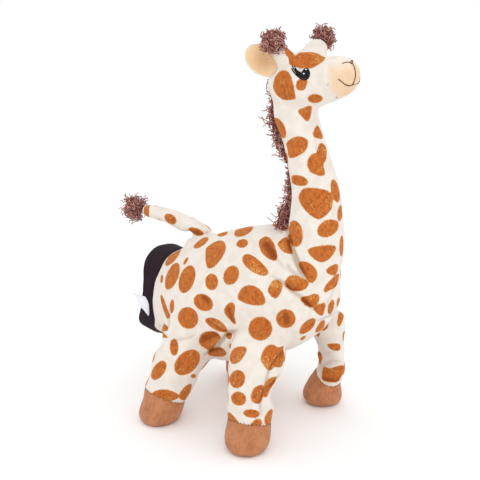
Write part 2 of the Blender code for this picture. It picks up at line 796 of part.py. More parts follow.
torso_cutters = []
for limb, limb_name in ((front_leg, "front"), (hind_leg, "hind")):
    for limb_side, limb_side_name in ((1, "left"), (-1, "right")):
        torso_cutters.append(build_leg(limb, limb_side, f"{limb_name}_{limb_side_name}"))
torso_cutters.append(build_tail())
skull_centre = place(skull_y, skull_z)
head_turn = (Matrix.Translation(skull_centre) @ Matrix.Rotation(head_yaw, 4, "Z")
             @ Matrix.Rotation(head_roll, 4, "Y") @ Matrix.Rotation(head_pitch, 4, "X"))
torso_cutters.append(build_neck(nod_room(head_turn)))
build_head(head_turn)
build_ear(1, "left", left_ear_reach_shares, head_turn)
build_ear(-1, "right", right_ear_reach_shares, head_turn)
build_torso(torso_cutters)
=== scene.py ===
import math
import random
from collections import namedtuple

import bmesh
import bpy
import numpy as np
from mathutils import Matrix, Vector, noise
from mathutils.bvhtree import BVHTree
from mathutils.kdtree import KDTree


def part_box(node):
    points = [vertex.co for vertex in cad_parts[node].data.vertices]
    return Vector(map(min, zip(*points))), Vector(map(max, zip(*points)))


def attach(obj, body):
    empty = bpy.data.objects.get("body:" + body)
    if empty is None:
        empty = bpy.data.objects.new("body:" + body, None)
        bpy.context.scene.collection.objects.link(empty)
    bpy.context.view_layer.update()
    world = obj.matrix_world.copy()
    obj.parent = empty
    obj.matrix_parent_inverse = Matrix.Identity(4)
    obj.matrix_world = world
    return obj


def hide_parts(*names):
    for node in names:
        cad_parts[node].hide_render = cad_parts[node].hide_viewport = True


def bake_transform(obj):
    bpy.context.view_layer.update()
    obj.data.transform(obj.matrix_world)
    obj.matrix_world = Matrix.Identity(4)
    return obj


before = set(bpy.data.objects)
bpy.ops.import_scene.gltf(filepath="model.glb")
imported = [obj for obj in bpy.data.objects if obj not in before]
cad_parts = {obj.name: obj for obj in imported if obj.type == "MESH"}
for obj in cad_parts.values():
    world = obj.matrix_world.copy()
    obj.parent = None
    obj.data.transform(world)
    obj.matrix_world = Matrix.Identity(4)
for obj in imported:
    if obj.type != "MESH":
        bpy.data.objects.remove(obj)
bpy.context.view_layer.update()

mm = 0.001
up = Vector((0, 0, 1))
across = Vector((1, 0, 0))

view = {"azimuth": -52.66, "elevation": 14.0, "distance": 750.0, "target": (-19.37, -26.25, 171.79),
        "lens": 63.92, "sensor": 36.0, "imageSize": 480}

# fineHeight and fineScale: the smaller bumps of the puffed filling, against the large ones
surface = {"voxel": 1.5, "evenRounds": 7, "evenWeight": 0.5, "joinRounds": 42, "floorHeight": 0.25,
           "puffHeight": 0.55, "puffSize": 17.0, "fineHeight": 0.4, "fineScale": 2.6,
           "foldGain": 1.35, "deepestFold": 3.8, "widestFold": 3.0, "nudgeDepth": 2.5,
           "thinnestRing": 0.05, "formReach": 30.0, "outOfReach": 60.0, "borderRounds": 8}

Torso = namedtuple("Torso", "front length height width belly")
torso = Torso(front=-114.85, length=179.0, height=142.0, width=102.0, belly=47.0)
# along the length, top and bottom of the height, width
torsoShares = (
    (0.000, 0.700, 0.560, 0.16), (0.045, 0.850, 0.420, 0.48), (0.130, 0.950, 0.290, 0.75),
    (0.275, 0.990, 0.170, 0.92), (0.460, 0.960, 0.050, 1.00), (0.650, 0.890, 0.000, 1.01),
    (0.810, 0.810, 0.005, 0.95), (0.935, 0.725, 0.040, 0.82), (1.000, 0.680, 0.065, 0.72),
    (1.060, 0.650, 0.090, 0.66),
)
neck = {"baseY": -91.85, "baseZ": 160.0, "rise": 138.0, "sway": 21.0, "radius": 25.0}
# height of the rise, sway towards the rear, radius
neckShares = (
    (-0.172, 0.00, 0.36), (-0.112, 0.00, 0.80), (0.000, 0.00, 1.02), (0.180, -0.02, 0.98),
    (0.305, -0.05, 0.87), (0.435, 0.00, 0.81), (0.560, 0.22, 0.745), (0.680, 0.50, 0.70),
    (0.800, 0.79, 0.68), (0.900, 1.08, 0.74), (1.000, 1.22, 0.74),
)
head = {"centre": (0.0, -70.85, 308.5), "pitch": -6.0, "roll": -8.0, "yaw": -6.0, "skull": 24.5,
        "reach": 60.5, "muzzle": 18.2}
# forward of the skull centre, of the reach; rise, half width and half height, of the muzzle radius
faceShares = (
    (0.13, 0.00, 1.36, 1.36), (0.38, 0.02, 1.14, 1.14), (0.56, 0.06, 0.98, 0.98),
    (0.74, 0.12, 0.99, 0.95), (0.90, 0.15, 0.80, 0.75), (1.00, 0.13, 0.36, 0.34),
)
# back of the skull: behind its centre and half size, both of the skull radius
skullShares = ((0.98, 0.30), (0.72, 0.76), (0.26, 1.02))
horn = {"seatShares": (0.62, -0.285, 0.73), "length": 17.5, "sunk": 9.0, "base": 9.6, "top": 6.6,
        "seatSwell": 1.04, "middleSwell": 1.1, "leftSwell": 1.22}
hornLeanShares = {"left": (0.82, 0.02, 0.57), "right": (0.54, 0.03, 0.84)}

# slims: the thin way through the knee and the ankle; bow: how far the knee stands out and forward
Leg = namedtuple("Leg", "hip sole ball knee ankle hoof hoofHeight slims bow")
legs = {
    "front": Leg(hip=(43.0, -63.85, 84.0), sole=(63.0, -65.85, 0.0), ball=24.5, knee=20.2,
                 ankle=19.0, hoof=20.3, hoofHeight=25.5, slims=(0.64, 0.80), bow=(8.0, -5.0)),
    "hind": Leg(hip=(41.0, 18.15, 75.0), sole=(68.0, 34.15, 0.0), ball=27.5, knee=21.5,
                ankle=17.8, hoof=19.8, hoofHeight=24.5, slims=(1.0, 1.0), bow=(0.0, 0.0)),
}
legSeamTurn = 37.0
# the left front leg starts further forward: the shift of its rings from the hip down, and its slims
leftLeg = {"shift": (4.0, -10.5), "shares": (0.5, 0.8, 1.0, 0.95, 0.3, 0.0, 0.0, 0.0),
           "slims": (0.9, 0.75, 0.54, 0.38, 0.70, 0.95, 1.0, 1.0)}
kneeShare = 0.50
# how far the last ring of a hoof lies below the sole
soleSunk = 1.0
hipShares = ((-0.98, 0.38), (-0.64, 0.84), (0.00, 1.06))
hoofShares = ((0.50, 1.00), (0.84, 0.95), (1.00, 0.58))
tail = {"rootY": 31.15, "rootZ": 163.5, "length": 75.5, "rise": 15.0, "root": 9.2, "tip": 6.2}
# along the length, rise, radius between the tip's and the root's
tailShares = (
    (-0.110, -0.05, -0.30), (-0.062, -0.03, 0.70), (0.020, 0.08, 1.02), (0.250, 0.52, 0.80),
    (0.520, 0.86, 0.45), (0.780, 0.98, 0.18), (0.970, 1.00, 0.05), (1.000, 1.00, -0.45),
)

# how softly a limb runs into what carries it
joinSoftness = {"torso": 5.0, "neck": 5.0, "head": 8.0, "horn": 5.0, "leg": 10.0, "tail": 2.5}

Ring = namedtuple("Ring", "centre normal halfX halfV side")


def stageDone(text):
    print("scene:", text)


def srgb(code):
    values = [int(code[index:index + 2], 16) / 255 for index in (1, 3, 5)]
    linear = [value / 12.92 if value <= 0.04045 else ((value + 0.055) / 1.055) ** 2.4
              for value in values]
    return (*linear, 1.0)


def addNode(tree, kind, links=(), **settings):
    node = tree.nodes.new(kind)
    for name, value in settings.items():
        setattr(node, name, value)
    for socket, source in links:
        if isinstance(source, bpy.types.NodeSocket):
            tree.links.new(source, node.inputs[socket])
        else:
            node.inputs[socket].default_value = source
    return node


def linked(name, data):
    obj = bpy.data.objects.new(name, data)
    bpy.context.scene.collection.objects.link(obj)
    return obj


# Camera

def makeCamera():
    azimuth = math.radians(view["azimuth"])
    elevation = math.radians(view["elevation"])
    back = Vector((math.sin(azimuth) * math.cos(elevation),
                   -math.cos(azimuth) * math.cos(elevation), math.sin(elevation)))
    target = Vector(view["target"]) * mm
    data = bpy.data.cameras.new("photoCamera")
    data.lens = view["lens"]
    data.sensor_width = view["sensor"]
    data.clip_start = 0.01
    camera = linked("photoCamera", data)
    camera.location = target + back * view["distance"] * mm
    camera.rotation_euler = back.to_track_quat("Z", "Y").to_euler()
    bpy.context.scene.camera = camera
    right = up.cross(back).normalized()
    return camera.location.copy(), right, back.cross(right), back


def pixelRay(x, y):
    focal = view["imageSize"] * view["lens"] / view["sensor"]
    middle = view["imageSize"] / 2
    direction = cameraRight * (x - middle) / focal + cameraUp * (middle - y) / focal - cameraBack
    return direction.normalized()


# Stuffed forms: rings that a cubic spline runs through

def meshObject(name, points, faces):
    mesh = bpy.data.meshes.new(name)
    mesh.from_pydata([tuple(point) for point in points], [], faces)
    mesh.validate()
    return linked(name, mesh)


def ringFaces(rows, sides, start=0):
    # the four-cornered faces between rings of points that follow each other
    faces = []
    for row in range(rows - 1):
        for side in range(sides):
            a = start + row * sides + side
            b = start + row * sides + (side + 1) % sides
            faces.append((a, b, b + sides, a + sides))
    return faces


def compacted(faces):
    # the corners that the faces use, and the faces renumbered to those
    used = sorted({corner for face in faces for corner in face})
    renumber = {old: new for new, old in enumerate(used)}
    return used, [tuple(renumber[corner] for corner in face) for face in faces]


def setField(obj, name, values):
    layer = obj.data.attributes.new(name, "FLOAT", "POINT")
    layer.data.foreach_set("value", np.array(values, dtype=np.float32))


def dress(obj, material, body, replaced=(), smooth=True):
    # the cloth of a piece, the body it rides on, and the solids it stands for
    if smooth:
        obj.data.shade_smooth()
    obj.data.materials.append(material)
    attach(obj, body)
    if replaced:
        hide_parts(*replaced)


def appliedMesh(obj):
    # what the modifiers make of an object, which is removed
    evaluated = obj.evaluated_get(bpy.context.evaluated_depsgraph_get())
    mesh = bpy.data.meshes.new_from_object(evaluated)
    bpy.data.objects.remove(obj, do_unlink=True)
    return mesh


def splineRows(rows, steps):
    blend = np.array(((-1, 3, -3, 1), (3, -6, 3, 0), (-3, 0, 3, 0), (1, 4, 1, 0))) / 6
    result = []
    for index in range(len(rows) - 3):
        for step in range(steps):
            t = step / steps
            powers = np.array((t ** 3, t ** 2, t, 1.0))
            result.append(powers @ blend @ rows[index:index + 4])
    return np.array(result)


def stuffedForm(rings, steps=7, sides=56):
    rows = np.array([(*ring.centre, *ring.normal, ring.halfX, ring.halfV) for ring in rings])
    first = rows[0].copy()
    last = rows[-1].copy()
    first[6:] = 0
    last[6:] = 0
    rows = np.vstack([[first] * 3, rows, [last] * 3])
    fine = splineRows(rows, steps)
    fine = fine[fine[:, 6] > surface["thinnestRing"]]
    side = Vector(rings[0].side)
    points = []
    for row in fine:
        normal = Vector(row[3:6]).normalized()
        wide = (side - normal * side.dot(normal)).normalized()
        tall = normal.cross(wide)
        for step in range(sides):
            angle = 2 * math.pi * step / sides
            offset = wide * row[6] * math.cos(angle) + tall * row[7] * math.sin(angle)
            points.append((Vector(row[:3]) + offset) * mm)
    count = len(fine)
    faces = ringFaces(count, sides)
    faces.append(tuple(reversed(range(sides))))
    faces.append(tuple(range((count - 1) * sides, count * sides)))
    return points, faces


def curveRings(points, radii, side=across):
    rings = []
    for index, point in enumerate(points):
        ahead = points[min(index + 1, len(points) - 1)]
        behind = points[max(index - 1, 0)]
        rings.append(Ring(point, (ahead - behind).normalized(), radii[index], radii[index], side))
    return rings


def torsoRings():
    rings = []
    for along, top, bottom, width in torsoShares:
        middle = torso.belly + (top + bottom) / 2 * torso.height
        centre = Vector((0, torso.front + along * torso.length, middle))
        rings.append(Ring(centre, Vector((0, 1, 0)), width * torso.width / 2,
                          (top - bottom) / 2 * torso.height, across))
    return rings


def neckRings():
    points = [Vector((0, neck["baseY"] + sway * neck["sway"], neck["baseZ"] + rise * neck["rise"]))
              for rise, sway, _ in neckShares]
    return curveRings(points, [radius * neck["radius"] for _, _, radius in neckShares])


def headTurn():
    turns = [Matrix.Rotation(math.radians(head[name]), 3, axis)
             for name, axis in (("yaw", "Z"), ("roll", "Y"), ("pitch", "X"))]
    return turns[0] @ turns[1] @ turns[2]


def toHead(point):
    return headSpin.transposed() @ (Vector(point) / mm - headCentre)


def fromHead(point):
    return (headSpin @ Vector(point) + headCentre) * mm


def headRings():
    forward = headSpin @ Vector((0, -1, 0))
    side = headSpin @ across
    rings = []
    for behind, size in skullShares:
        centre = headCentre + headSpin @ Vector((0, behind * head["skull"], 0))
        rings.append(Ring(centre, forward, size * head["skull"], size * head["skull"], side))
    for ahead, rise, halfX, halfZ in faceShares:
        offset = Vector((0, -ahead * head["reach"], rise * head["muzzle"]))
        rings.append(Ring(headCentre + headSpin @ offset, forward, halfX * head["muzzle"],
                          halfZ * head["muzzle"], side))
    return rings


def mirrored(shares, side):
    return Vector((side * shares[0], shares[1], shares[2])).normalized()


def hornAxis(side, sideName):
    seat = headCentre + headSpin @ mirrored(horn["seatShares"], side) * head["skull"]
    lean = headSpin @ mirrored(hornLeanShares[sideName], side)
    return seat, lean


def hornRings(side, sideName):
    seat, lean = hornAxis(side, sideName)
    points = [seat + lean * along for along in (-horn["sunk"], 0.0, horn["length"] * 0.5,
                                                horn["length"])]
    swell = horn["leftSwell"] if side > 0 else 1.0
    radii = (horn["base"], horn["base"] * horn["seatSwell"], horn["top"] * horn["middleSwell"],
             horn["top"])
    return curveRings(points, [radius * swell for radius in radii])


def legRings(leg, side):
    hip = Vector((side * leg.hip[0], leg.hip[1], leg.hip[2]))
    sole = Vector((side * leg.sole[0], leg.sole[1], leg.sole[2]))
    down = (sole - hip).normalized()
    reach = (sole - hip).length
    hoofStart = reach - leg.hoofHeight / abs(down.z)
    turn = math.radians(legSeamTurn)
    wide = Vector((-side * math.sin(turn), -math.cos(turn), 0))
    rows = [(along * leg.ball, size * leg.ball, 1.0) for along, size in hipShares]
    rows += [(kneeShare * reach, leg.knee, leg.slims[0]), (hoofStart, leg.ankle, leg.slims[1])]
    rows += [(hoofStart + along * (reach + soleSunk - hoofStart), size * leg.hoof, 1.0)
             for along, size in hoofShares]
    lastAbove = len(rows) - len(hoofShares) - 1
    rings = []
    for index, (along, radius, slim) in enumerate(rows):
        level = max(index - lastAbove, 0) / len(hoofShares)
        normal = down.lerp(-up, level).normalized()
        centre = hip + down * along
        if leg is legs["front"] and side > 0:
            centre += Vector((*leftLeg["shift"], 0)) * leftLeg["shares"][index]
            slim = leftLeg["slims"][index]
        if index == len(hipShares):
            centre += Vector((side * leg.bow[0], leg.bow[1], 0))
        rings.append(Ring(centre, normal, radius, radius * slim, wide))
    return rings, down, hip + down * hoofStart


def tailRings():
    points = [Vector((0, tail["rootY"] + along * tail["length"],
                      tail["rootZ"] + rise * tail["rise"])) for along, rise, _ in tailShares]
    radii = [tail["tip"] + swell * (tail["root"] - tail["tip"]) for _, _, swell in tailShares]
    return curveRings(points, radii)


def makeForms():
    forms = {"torso": stuffedForm(torsoRings()), "neck": stuffedForm(neckRings()),
             "head": stuffedForm(headRings()), "tail": stuffedForm(tailRings())}
    for side, sideName in ((1, "left"), (-1, "right")):
        forms[f"horn_{sideName}"] = stuffedForm(hornRings(side, sideName))
        for end, leg in legs.items():
            forms[f"leg_{end}_{sideName}"] = stuffedForm(legRings(leg, side)[0])
    return forms


class Skin:
    # the whole stuffed skin as arrays, before it is cut into its pieces
    def __init__(self, mesh):
        self.points = np.empty(len(mesh.vertices) * 3)
        mesh.vertices.foreach_get("co", self.points)
        self.points = self.points.reshape(-1, 3)
        self.edges = np.empty(len(mesh.edges) * 2, dtype=np.int64)
        mesh.edges.foreach_get("vertices", self.edges)
        self.edges = self.edges.reshape(-1, 2)
        self.faces = [tuple(face.vertices) for face in mesh.polygons]
        self.degree = np.bincount(self.edges.ravel(), minlength=len(self.points))
        triangles = [(face[0], face[corner], face[corner + 1]) for face in self.faces
                     for corner in range(1, len(face) - 1)]
        self.triangles = np.array(triangles)
        self.middles = np.array([self.points[list(face)].mean(axis=0) for face in self.faces])

    def relax(self, weight, rounds):
        a, b = self.edges.T
        count = len(self.points)
        for _ in range(rounds):
            total = np.empty_like(self.points)
            for axis in range(3):
                values = self.points[:, axis]
                total[:, axis] = (np.bincount(a, values[b], count)
                                  + np.bincount(b, values[a], count))
            self.points += weight[:, None] * (total / self.degree[:, None] - self.points)

    def evened(self, field, rounds):
        a, b = self.edges.T
        for _ in range(rounds):
            total = np.bincount(a, field[b], len(field)) + np.bincount(b, field[a], len(field))
            field = 0.5 * field + 0.5 * total / self.degree
        return field

    def normals(self):
        p = self.points
        a, b, c = self.triangles.T
        facing = np.cross(p[b] - p[a], p[c] - p[a])
        result = np.zeros_like(p)
        for corner in (a, b, c):
            for axis in range(3):
                result[:, axis] += np.bincount(corner, facing[:, axis], len(p))
        return result / np.maximum(np.linalg.norm(result, axis=1), 1e-12)[:, None]

    def tree(self):
        return BVHTree.FromPolygons([tuple(point) for point in self.points], self.faces)

    def nearTree(self):
        kd = KDTree(len(self.points))
        for index, point in enumerate(self.points):
            kd.insert(point, index)
        kd.balance()
        return kd

    def toMesh(self):
        mesh = bpy.data.meshes.new("skin")
        mesh.from_pydata([tuple(point) for point in self.points], [], self.faces)
        return mesh


def voxelMesh(points, faces, voxel):
    obj = meshObject("voxelForm", points, faces)
    remesh = obj.modifiers.new("voxels", "REMESH")
    remesh.mode = "VOXEL"
    remesh.voxel_size = voxel * mm
    remesh.adaptivity = 0
    return appliedMesh(obj)


def unite(forms):
    points = []
    faces = []
    for formPoints, formFaces in forms.values():
        start = len(points)
        points += formPoints
        faces += [tuple(start + index for index in face) for face in formFaces]
    return Skin(voxelMesh(points, faces, surface["voxel"]))


def formDistances(points, forms):
    # signed distance in millimetres from every point to every form, positive outside
    result = {}
    for name, (formPoints, formFaces) in forms.items():
        tree = BVHTree.FromPolygons(formPoints, formFaces)
        low = np.min(np.array(formPoints), axis=0) - surface["formReach"] * mm
        high = np.max(np.array(formPoints), axis=0) + surface["formReach"] * mm
        near = np.all((points > low) & (points < high), axis=1)
        distance = np.full(len(points), surface["outOfReach"])
        for index in np.flatnonzero(near):
            point = Vector(points[index])
            place, normal, _, length = tree.find_nearest(point)
            sign = 1 if (point - place).dot(normal) > 0 else -1
            distance[index] = sign * length / mm
        result[name] = distance
    return result


def softnessOf(name):
    return joinSoftness[name.split("_")[0]]


def softenJoins(skin, distances):
    names = list(distances)
    values = np.array([distances[name] for name in names])
    order = np.argsort(values, axis=0)
    nearest = order[0]
    second = order[1]
    columns = np.arange(values.shape[1])
    gap = np.abs(values[second, columns]) + np.abs(values[nearest, columns])
    softness = np.array([softnessOf(name) for name in names])
    reach = np.maximum(softness[nearest], softness[second])
    for one, other in (("torso", "neck"), ("neck", "torso")):
        joined = (nearest == names.index(one)) & (second == names.index(other))
        reach[joined] = joinSoftness["neck"]
    skin.relax(0.5 * np.exp(-(gap / reach) ** 2), surface["joinRounds"])


def puff(skin):
    normals = skin.normals()
    size = surface["puffSize"] * mm
    for index, point in enumerate(skin.points):
        lift = noise.noise(Vector(point) / size)
        lift += surface["fineHeight"] * noise.noise(Vector(point) * surface["fineScale"] / size)
        skin.points[index] += normals[index] * lift * surface["puffHeight"] * mm


# Shifts that bring the stuffed skin to its outline in the photograph: place and shift in pixels,
# reach in millimetres across the line of sight, and deeper along it
Nudge = namedtuple("Nudge", "pixel shift reach mirrored")
nudges = (
    Nudge((159, 341), (10.0, 0.0), 9.0, True), Nudge((157.5, 326), (-3.5, 1.5), 6.0, True),
    Nudge((200, 372), (-5.0, -1.0), 9.0, True), Nudge((145, 385), (-3.0, 0.0), 8.0, True),
    Nudge((278, 393), (-8.0, 0.0), 10.0, False), Nudge((341.5, 283), (-3.0, 0.0), 8.0, False),
    Nudge((336, 315), (7.0, 0.0), 6.5, False), Nudge((341.5, 327), (4.0, 0.0), 8.0, False),
    Nudge((345, 356), (-3.0, 0.0), 7.0, False), Nudge((319.5, 355), (-3.0, 0.0), 7.0, False),
    Nudge((190, 236), (1.0, -4.5), 6.5, False), Nudge((190, 244), (-3.0, -4.0), 5.5, False),
)
# distances from the camera, in metres, at which a line of sight is tried
sightSteps = np.linspace(0.58, 0.92, 120)


def nudgeSkin(skin):
    tree = skin.tree()
    moves = np.zeros_like(skin.points)
    for nudge in nudges:
        x, y = nudge.pixel
        direction = pixelRay(x, y)
        # the skin's point nearest to the line of sight, which may pass just outside its outline
        hit = min((tree.find_nearest(cameraPlace + direction * reach) for reach in sightSteps),
                  key=lambda found: found[3])[0]
        move = pixelRay(x + nudge.shift[0], y + nudge.shift[1]) - direction
        move *= (hit - cameraPlace).length
        for side in (1, -1) if nudge.mirrored else (1,):
            flip = np.array((side, 1, 1))
            away = (skin.points - np.array(hit) * flip) / (nudge.reach * mm)
            deep = away @ (np.array(direction) * flip)
            besideSquared = (away ** 2).sum(axis=1) - deep ** 2
            weight = np.exp(-besideSquared - (deep / surface["nudgeDepth"]) ** 2)
            moves += weight[:, None] * np.array(move) * flip
    skin.points += moves


# Creases and folds in the near side, as pixels of the photograph, each with depth and half width.
# The wide ones are hollows, or swellings where the depth is below zero, and leave no line
Crease = namedtuple("Crease", "depth width mirrored pixels")
creases = (
    Crease(2.6, 2.4, True, ((286.5, 224), (287, 232), (290, 245), (294, 255), (299, 266),
                            (305, 276), (310, 284))),
    Crease(1.5, 2.0, True, ((266, 272), (276, 279), (284, 283.5), (291, 291), (302, 298),
                            (313, 309), (322, 316))),
    Crease(1.2, 2.2, True, ((286, 262), (291, 270), (296, 274), (303, 280))),
    Crease(1.0, 2.0, False, ((262, 236), (270, 249), (279, 262), (288, 272))),
    Crease(2.2, 2.2, True, ((203, 357), (209, 353), (217, 347), (226, 336), (240, 328.5))),
    Crease(1.2, 1.8, True, ((203, 318), (212, 324), (222, 331), (232, 332))),
    Crease(1.5, 1.5, False, ((288.5, 344), (281, 353), (273, 363.7), (269, 372), (264.7, 389),
                             (260.5, 403), (260.5, 424))),
    Crease(1.8, 2.0, False, ((282, 374), (272, 384.7), (266, 390))),
    Crease(1.0, 1.3, True, ((299, 334.5), (314, 323), (327, 318), (339, 311))),
    Crease(0.9, 1.5, False, ((337, 281), (334, 292), (330, 300), (324, 306))),
    Crease(0.7, 1.0, False, ((310.5, 123.4), (315, 137), (317.4, 150), (322, 160), (326, 174))),
    Crease(1.2, 1.8, False, ((170, 300), (169, 314), (168, 326), (163, 333))),
    Crease(1.0, 2.0, False, ((166, 345), (176, 340), (190, 338), (199, 333))),
    Crease(0.8, 2.0, True, ((313, 350), (322, 354), (333, 352), (343, 345))),
    Crease(0.9, 2.0, False, ((305, 369), (318, 368), (331, 361), (343, 362))),
    Crease(1.4, 1.3, False, ((190, 235.5), (197, 234.8), (204, 233), (210, 231.3), (215, 230.2))),
    Crease(-2.6, 8.0, True, ((298, 57), (304, 56), (312, 56))),
)


def castPixels(tree, pixels, spacing=0.5):
    points = []
    for (x0, y0), (x1, y1) in zip(pixels, pixels[1:]):
        steps = max(1, int(math.hypot(x1 - x0, y1 - y0) / spacing))
        for step in range(steps):
            share = step / steps
            direction = pixelRay(x0 + share * (x1 - x0), y0 + share * (y1 - y0))
            hit = tree.ray_cast(cameraPlace, direction)[0]
            if hit is not None:
                points.append(hit)
    return points


# a stroke's weight at its ends and how fast it grows from there, and its reach in half widths
stroke = {"ends": 0.15, "slope": 4, "reach": 2.6}


def strokeShares(kd, line, width, side=1):
    # how far each point of the skin lies in a stroke that fades at both ends
    shares = {}
    count = len(line)
    for step, point in enumerate(line):
        fade = min(1.0, stroke["slope"] * step / count + stroke["ends"],
                   stroke["slope"] * (count - 1 - step) / count + stroke["ends"])
        place = Vector((side * point.x, point.y, point.z))
        for _, index, distance in kd.find_range(place, stroke["reach"] * width * mm):
            share = fade * math.exp(-(distance / mm / width) ** 2)
            if share > shares.get(index, 0):
                shares[index] = share
    return shares


# Strokes of painted light, as pixels: a painted highlight of golden pile tips on a fold's lit
# ridge, with an amount above zero, and painted shade in the fold, with one below
Brush = namedtuple("Brush", "amount width pixels")
lightStrokes = (
    Brush(0.9, 4.0, ((245, 268), (251, 270), (258, 272), (268, 274))),
    Brush(0.6, 3.0, ((249, 259), (255, 263), (261, 268))),
    Brush(1.0, 4.5, ((268, 285), (273, 284), (279, 286), (284, 289))),
    Brush(0.9, 3.5, ((289, 279), (295, 277.5), (301, 276.5), (307, 280))),
    Brush(0.9, 3.5, ((279, 241), (282, 246), (285, 250), (288, 254))),
    Brush(0.8, 3.5, ((311, 295), (315, 297), (320, 299))),
    Brush(0.8, 3.0, ((208, 319), (213, 322.5), (220, 326), (227, 330))),
    Brush(0.9, 4.5, ((262, 356), (266, 363), (270, 366), (274, 360), (277, 353))),
    Brush(0.8, 3.5, ((208, 346), (213, 344), (219, 340), (224, 338))),
    Brush(0.8, 3.5, ((328, 369), (334, 371), (341, 374))),
    Brush(0.7, 4.0, ((322, 211), (327, 207), (332, 202))),
    Brush(0.6, 3.5, ((319, 226), (323, 224), (329, 222))),
    Brush(0.7, 3.5, ((210, 246), (215, 244.5), (220, 244), (225, 246))),
    Brush(0.8, 3.0, ((303, 52), (309, 52.5), (315, 55), (320, 61), (322, 65))),
    Brush(0.7, 3.5, ((232, 362), (237, 358), (243, 352), (247, 348))),
    Brush(0.7, 3.5, ((312, 114), (316, 112), (320, 110))),
    Brush(0.7, 3.5, ((320, 142), (325, 150), (329, 158))),
    Brush(-1.0, 4.0, ((264, 241), (268, 247), (273, 254), (277, 262))),
    Brush(-1.0, 3.0, ((288, 239), (290, 245), (292, 254))),
    Brush(-0.9, 3.0, ((285, 281), (288, 287), (294, 291), (303, 290))),
    Brush(-0.9, 3.0, ((285, 312), (286, 317), (287, 322), (287, 326))),
    Brush(-0.9, 3.0, ((300, 299), (306, 303), (313, 308))),
    Brush(-0.8, 3.0, ((201, 295), (205, 298), (211, 304))),
    Brush(-0.8, 2.5, ((227, 305), (229, 311), (232, 319), (234, 324))),
    Brush(-1.0, 3.5, ((199, 342), (205, 338), (213, 335), (223, 333))),
    Brush(-0.9, 3.0, ((205, 352), (212, 349), (220, 348), (226, 350))),
    Brush(-1.0, 3.5, ((319, 348), (318, 355), (316, 364))),
    Brush(-0.7, 3.0, ((320, 377), (327, 380), (336, 381), (342, 378))),
    Brush(-0.6, 3.0, ((274, 366), (279, 358), (286, 347))),
    Brush(-1.0, 2.5, ((189, 229.5), (194, 232), (201, 233))),
    Brush(-0.7, 2.0, ((172, 223), (174, 219), (175.5, 214.5))),
)


# painted highlight where the amount is above zero, painted shade where it is below
def paintLightStrokes(skin):
    tree = skin.tree()
    kd = skin.nearTree()
    amounts = np.zeros(len(skin.points))
    for lightStroke in lightStrokes:
        line = castPixels(tree, lightStroke.pixels, 1.0)
        for index, share in strokeShares(kd, line, lightStroke.width).items():
            amounts[index] += share * lightStroke.amount
    return np.clip(amounts, -1, 1)


def pressCreases(skin):
    tree = skin.tree()
    normals = skin.normals()
    depthAt = np.zeros(len(skin.points))
    hollow = np.zeros(len(skin.points))
    kd = skin.nearTree()
    for crease in creases:
        target = hollow if crease.width > surface["widestFold"] else depthAt
        line = castPixels(tree, crease.pixels)
        sides = (1, -1) if crease.mirrored else (1,)
        for side in sides:
            for index, share in strokeShares(kd, line, crease.width, side).items():
                target[index] += share * crease.depth
    depthAt = np.minimum(depthAt * surface["foldGain"], surface["deepestFold"])
    skin.points -= normals * (depthAt + hollow)[:, None] * mm
    return depthAt


# Printed spots: centre, half sizes and tilt in pixels of the photograph
ovalSpots = (
    (315.1, 98.6, 7.5, 4.4, 0), (279.5, 128, 11, 5.2, 64), (298.8, 180.5, 9.5, 5, 13),
    (335.3, 190.9, 11.9, 3.9, 78), (340.1, 213, 8, 2.6, -85), (327.9, 228.4, 11.5, 7.9, -29),
    (295.1, 233.6, 13.2, 7.5, 83), (341.5, 246, 11, 1.9, -89), (263.5, 224, 6, 2.6, -18),
    (243.7, 230.5, 10.2, 5, -26), (222.5, 233.5, 5.4, 2.8, -17), (242.3, 243.5, 5.9, 4.3, -11),
    (201.2, 242.9, 8.8, 3.2, -35), (172.9, 257.1, 11.1, 3.6, -50), (185.8, 261, 4.5, 1.4, -60),
    (172.3, 276.2, 14.2, 5.8, -69), (187, 279.2, 14.4, 7.5, -72), (231.2, 275.3, 10, 7.4, -66),
    (211.7, 281.9, 8.3, 6.4, 86), (203.4, 302.5, 10.3, 7.9, 31), (188.1, 317.9, 11, 10, 67),
    (164.7, 307.2, 13.6, 2, 73), (172.1, 306.3, 7.3, 2, -87), (161.8, 279, 4.5, 1.3, -85),
    (285.8, 318.6, 9.7, 9.4, 0), (260.3, 328.7, 11.8, 11.8, 0), (331, 307, 7.5, 2.8, -77),
    (338.5, 303, 5.5, 1.8, -88), (340.5, 318, 9, 2.6, -76), (170.5, 219, 6.8, 4.4, 36),
    (196, 231.5, 8.1, 3.4, 19), (146.5, 211, 2.6, 8, 0), (174.1, 347.1, 8.6, 4.2, 90),
    (187.2, 362.4, 15.2, 10, -45), (158.8, 370.3, 10.9, 5.8, -56), (193.5, 376, 2.6, 2.0, 0),
    (237.4, 379, 9.2, 7.6, -75), (238.6, 398.7, 7.7, 6.8, 20), (226.6, 393, 6, 1.8, -87),
    (251.5, 413.5, 8.4, 4.1, 4), (163, 327, 6, 3.2, 30), (162.5, 334.8, 6.5, 1.7, 29),
    (303, 338, 3.4, 1.4, -38), (344, 336, 5, 1.4, -88), (148, 372, 4, 1.2, -70),
)
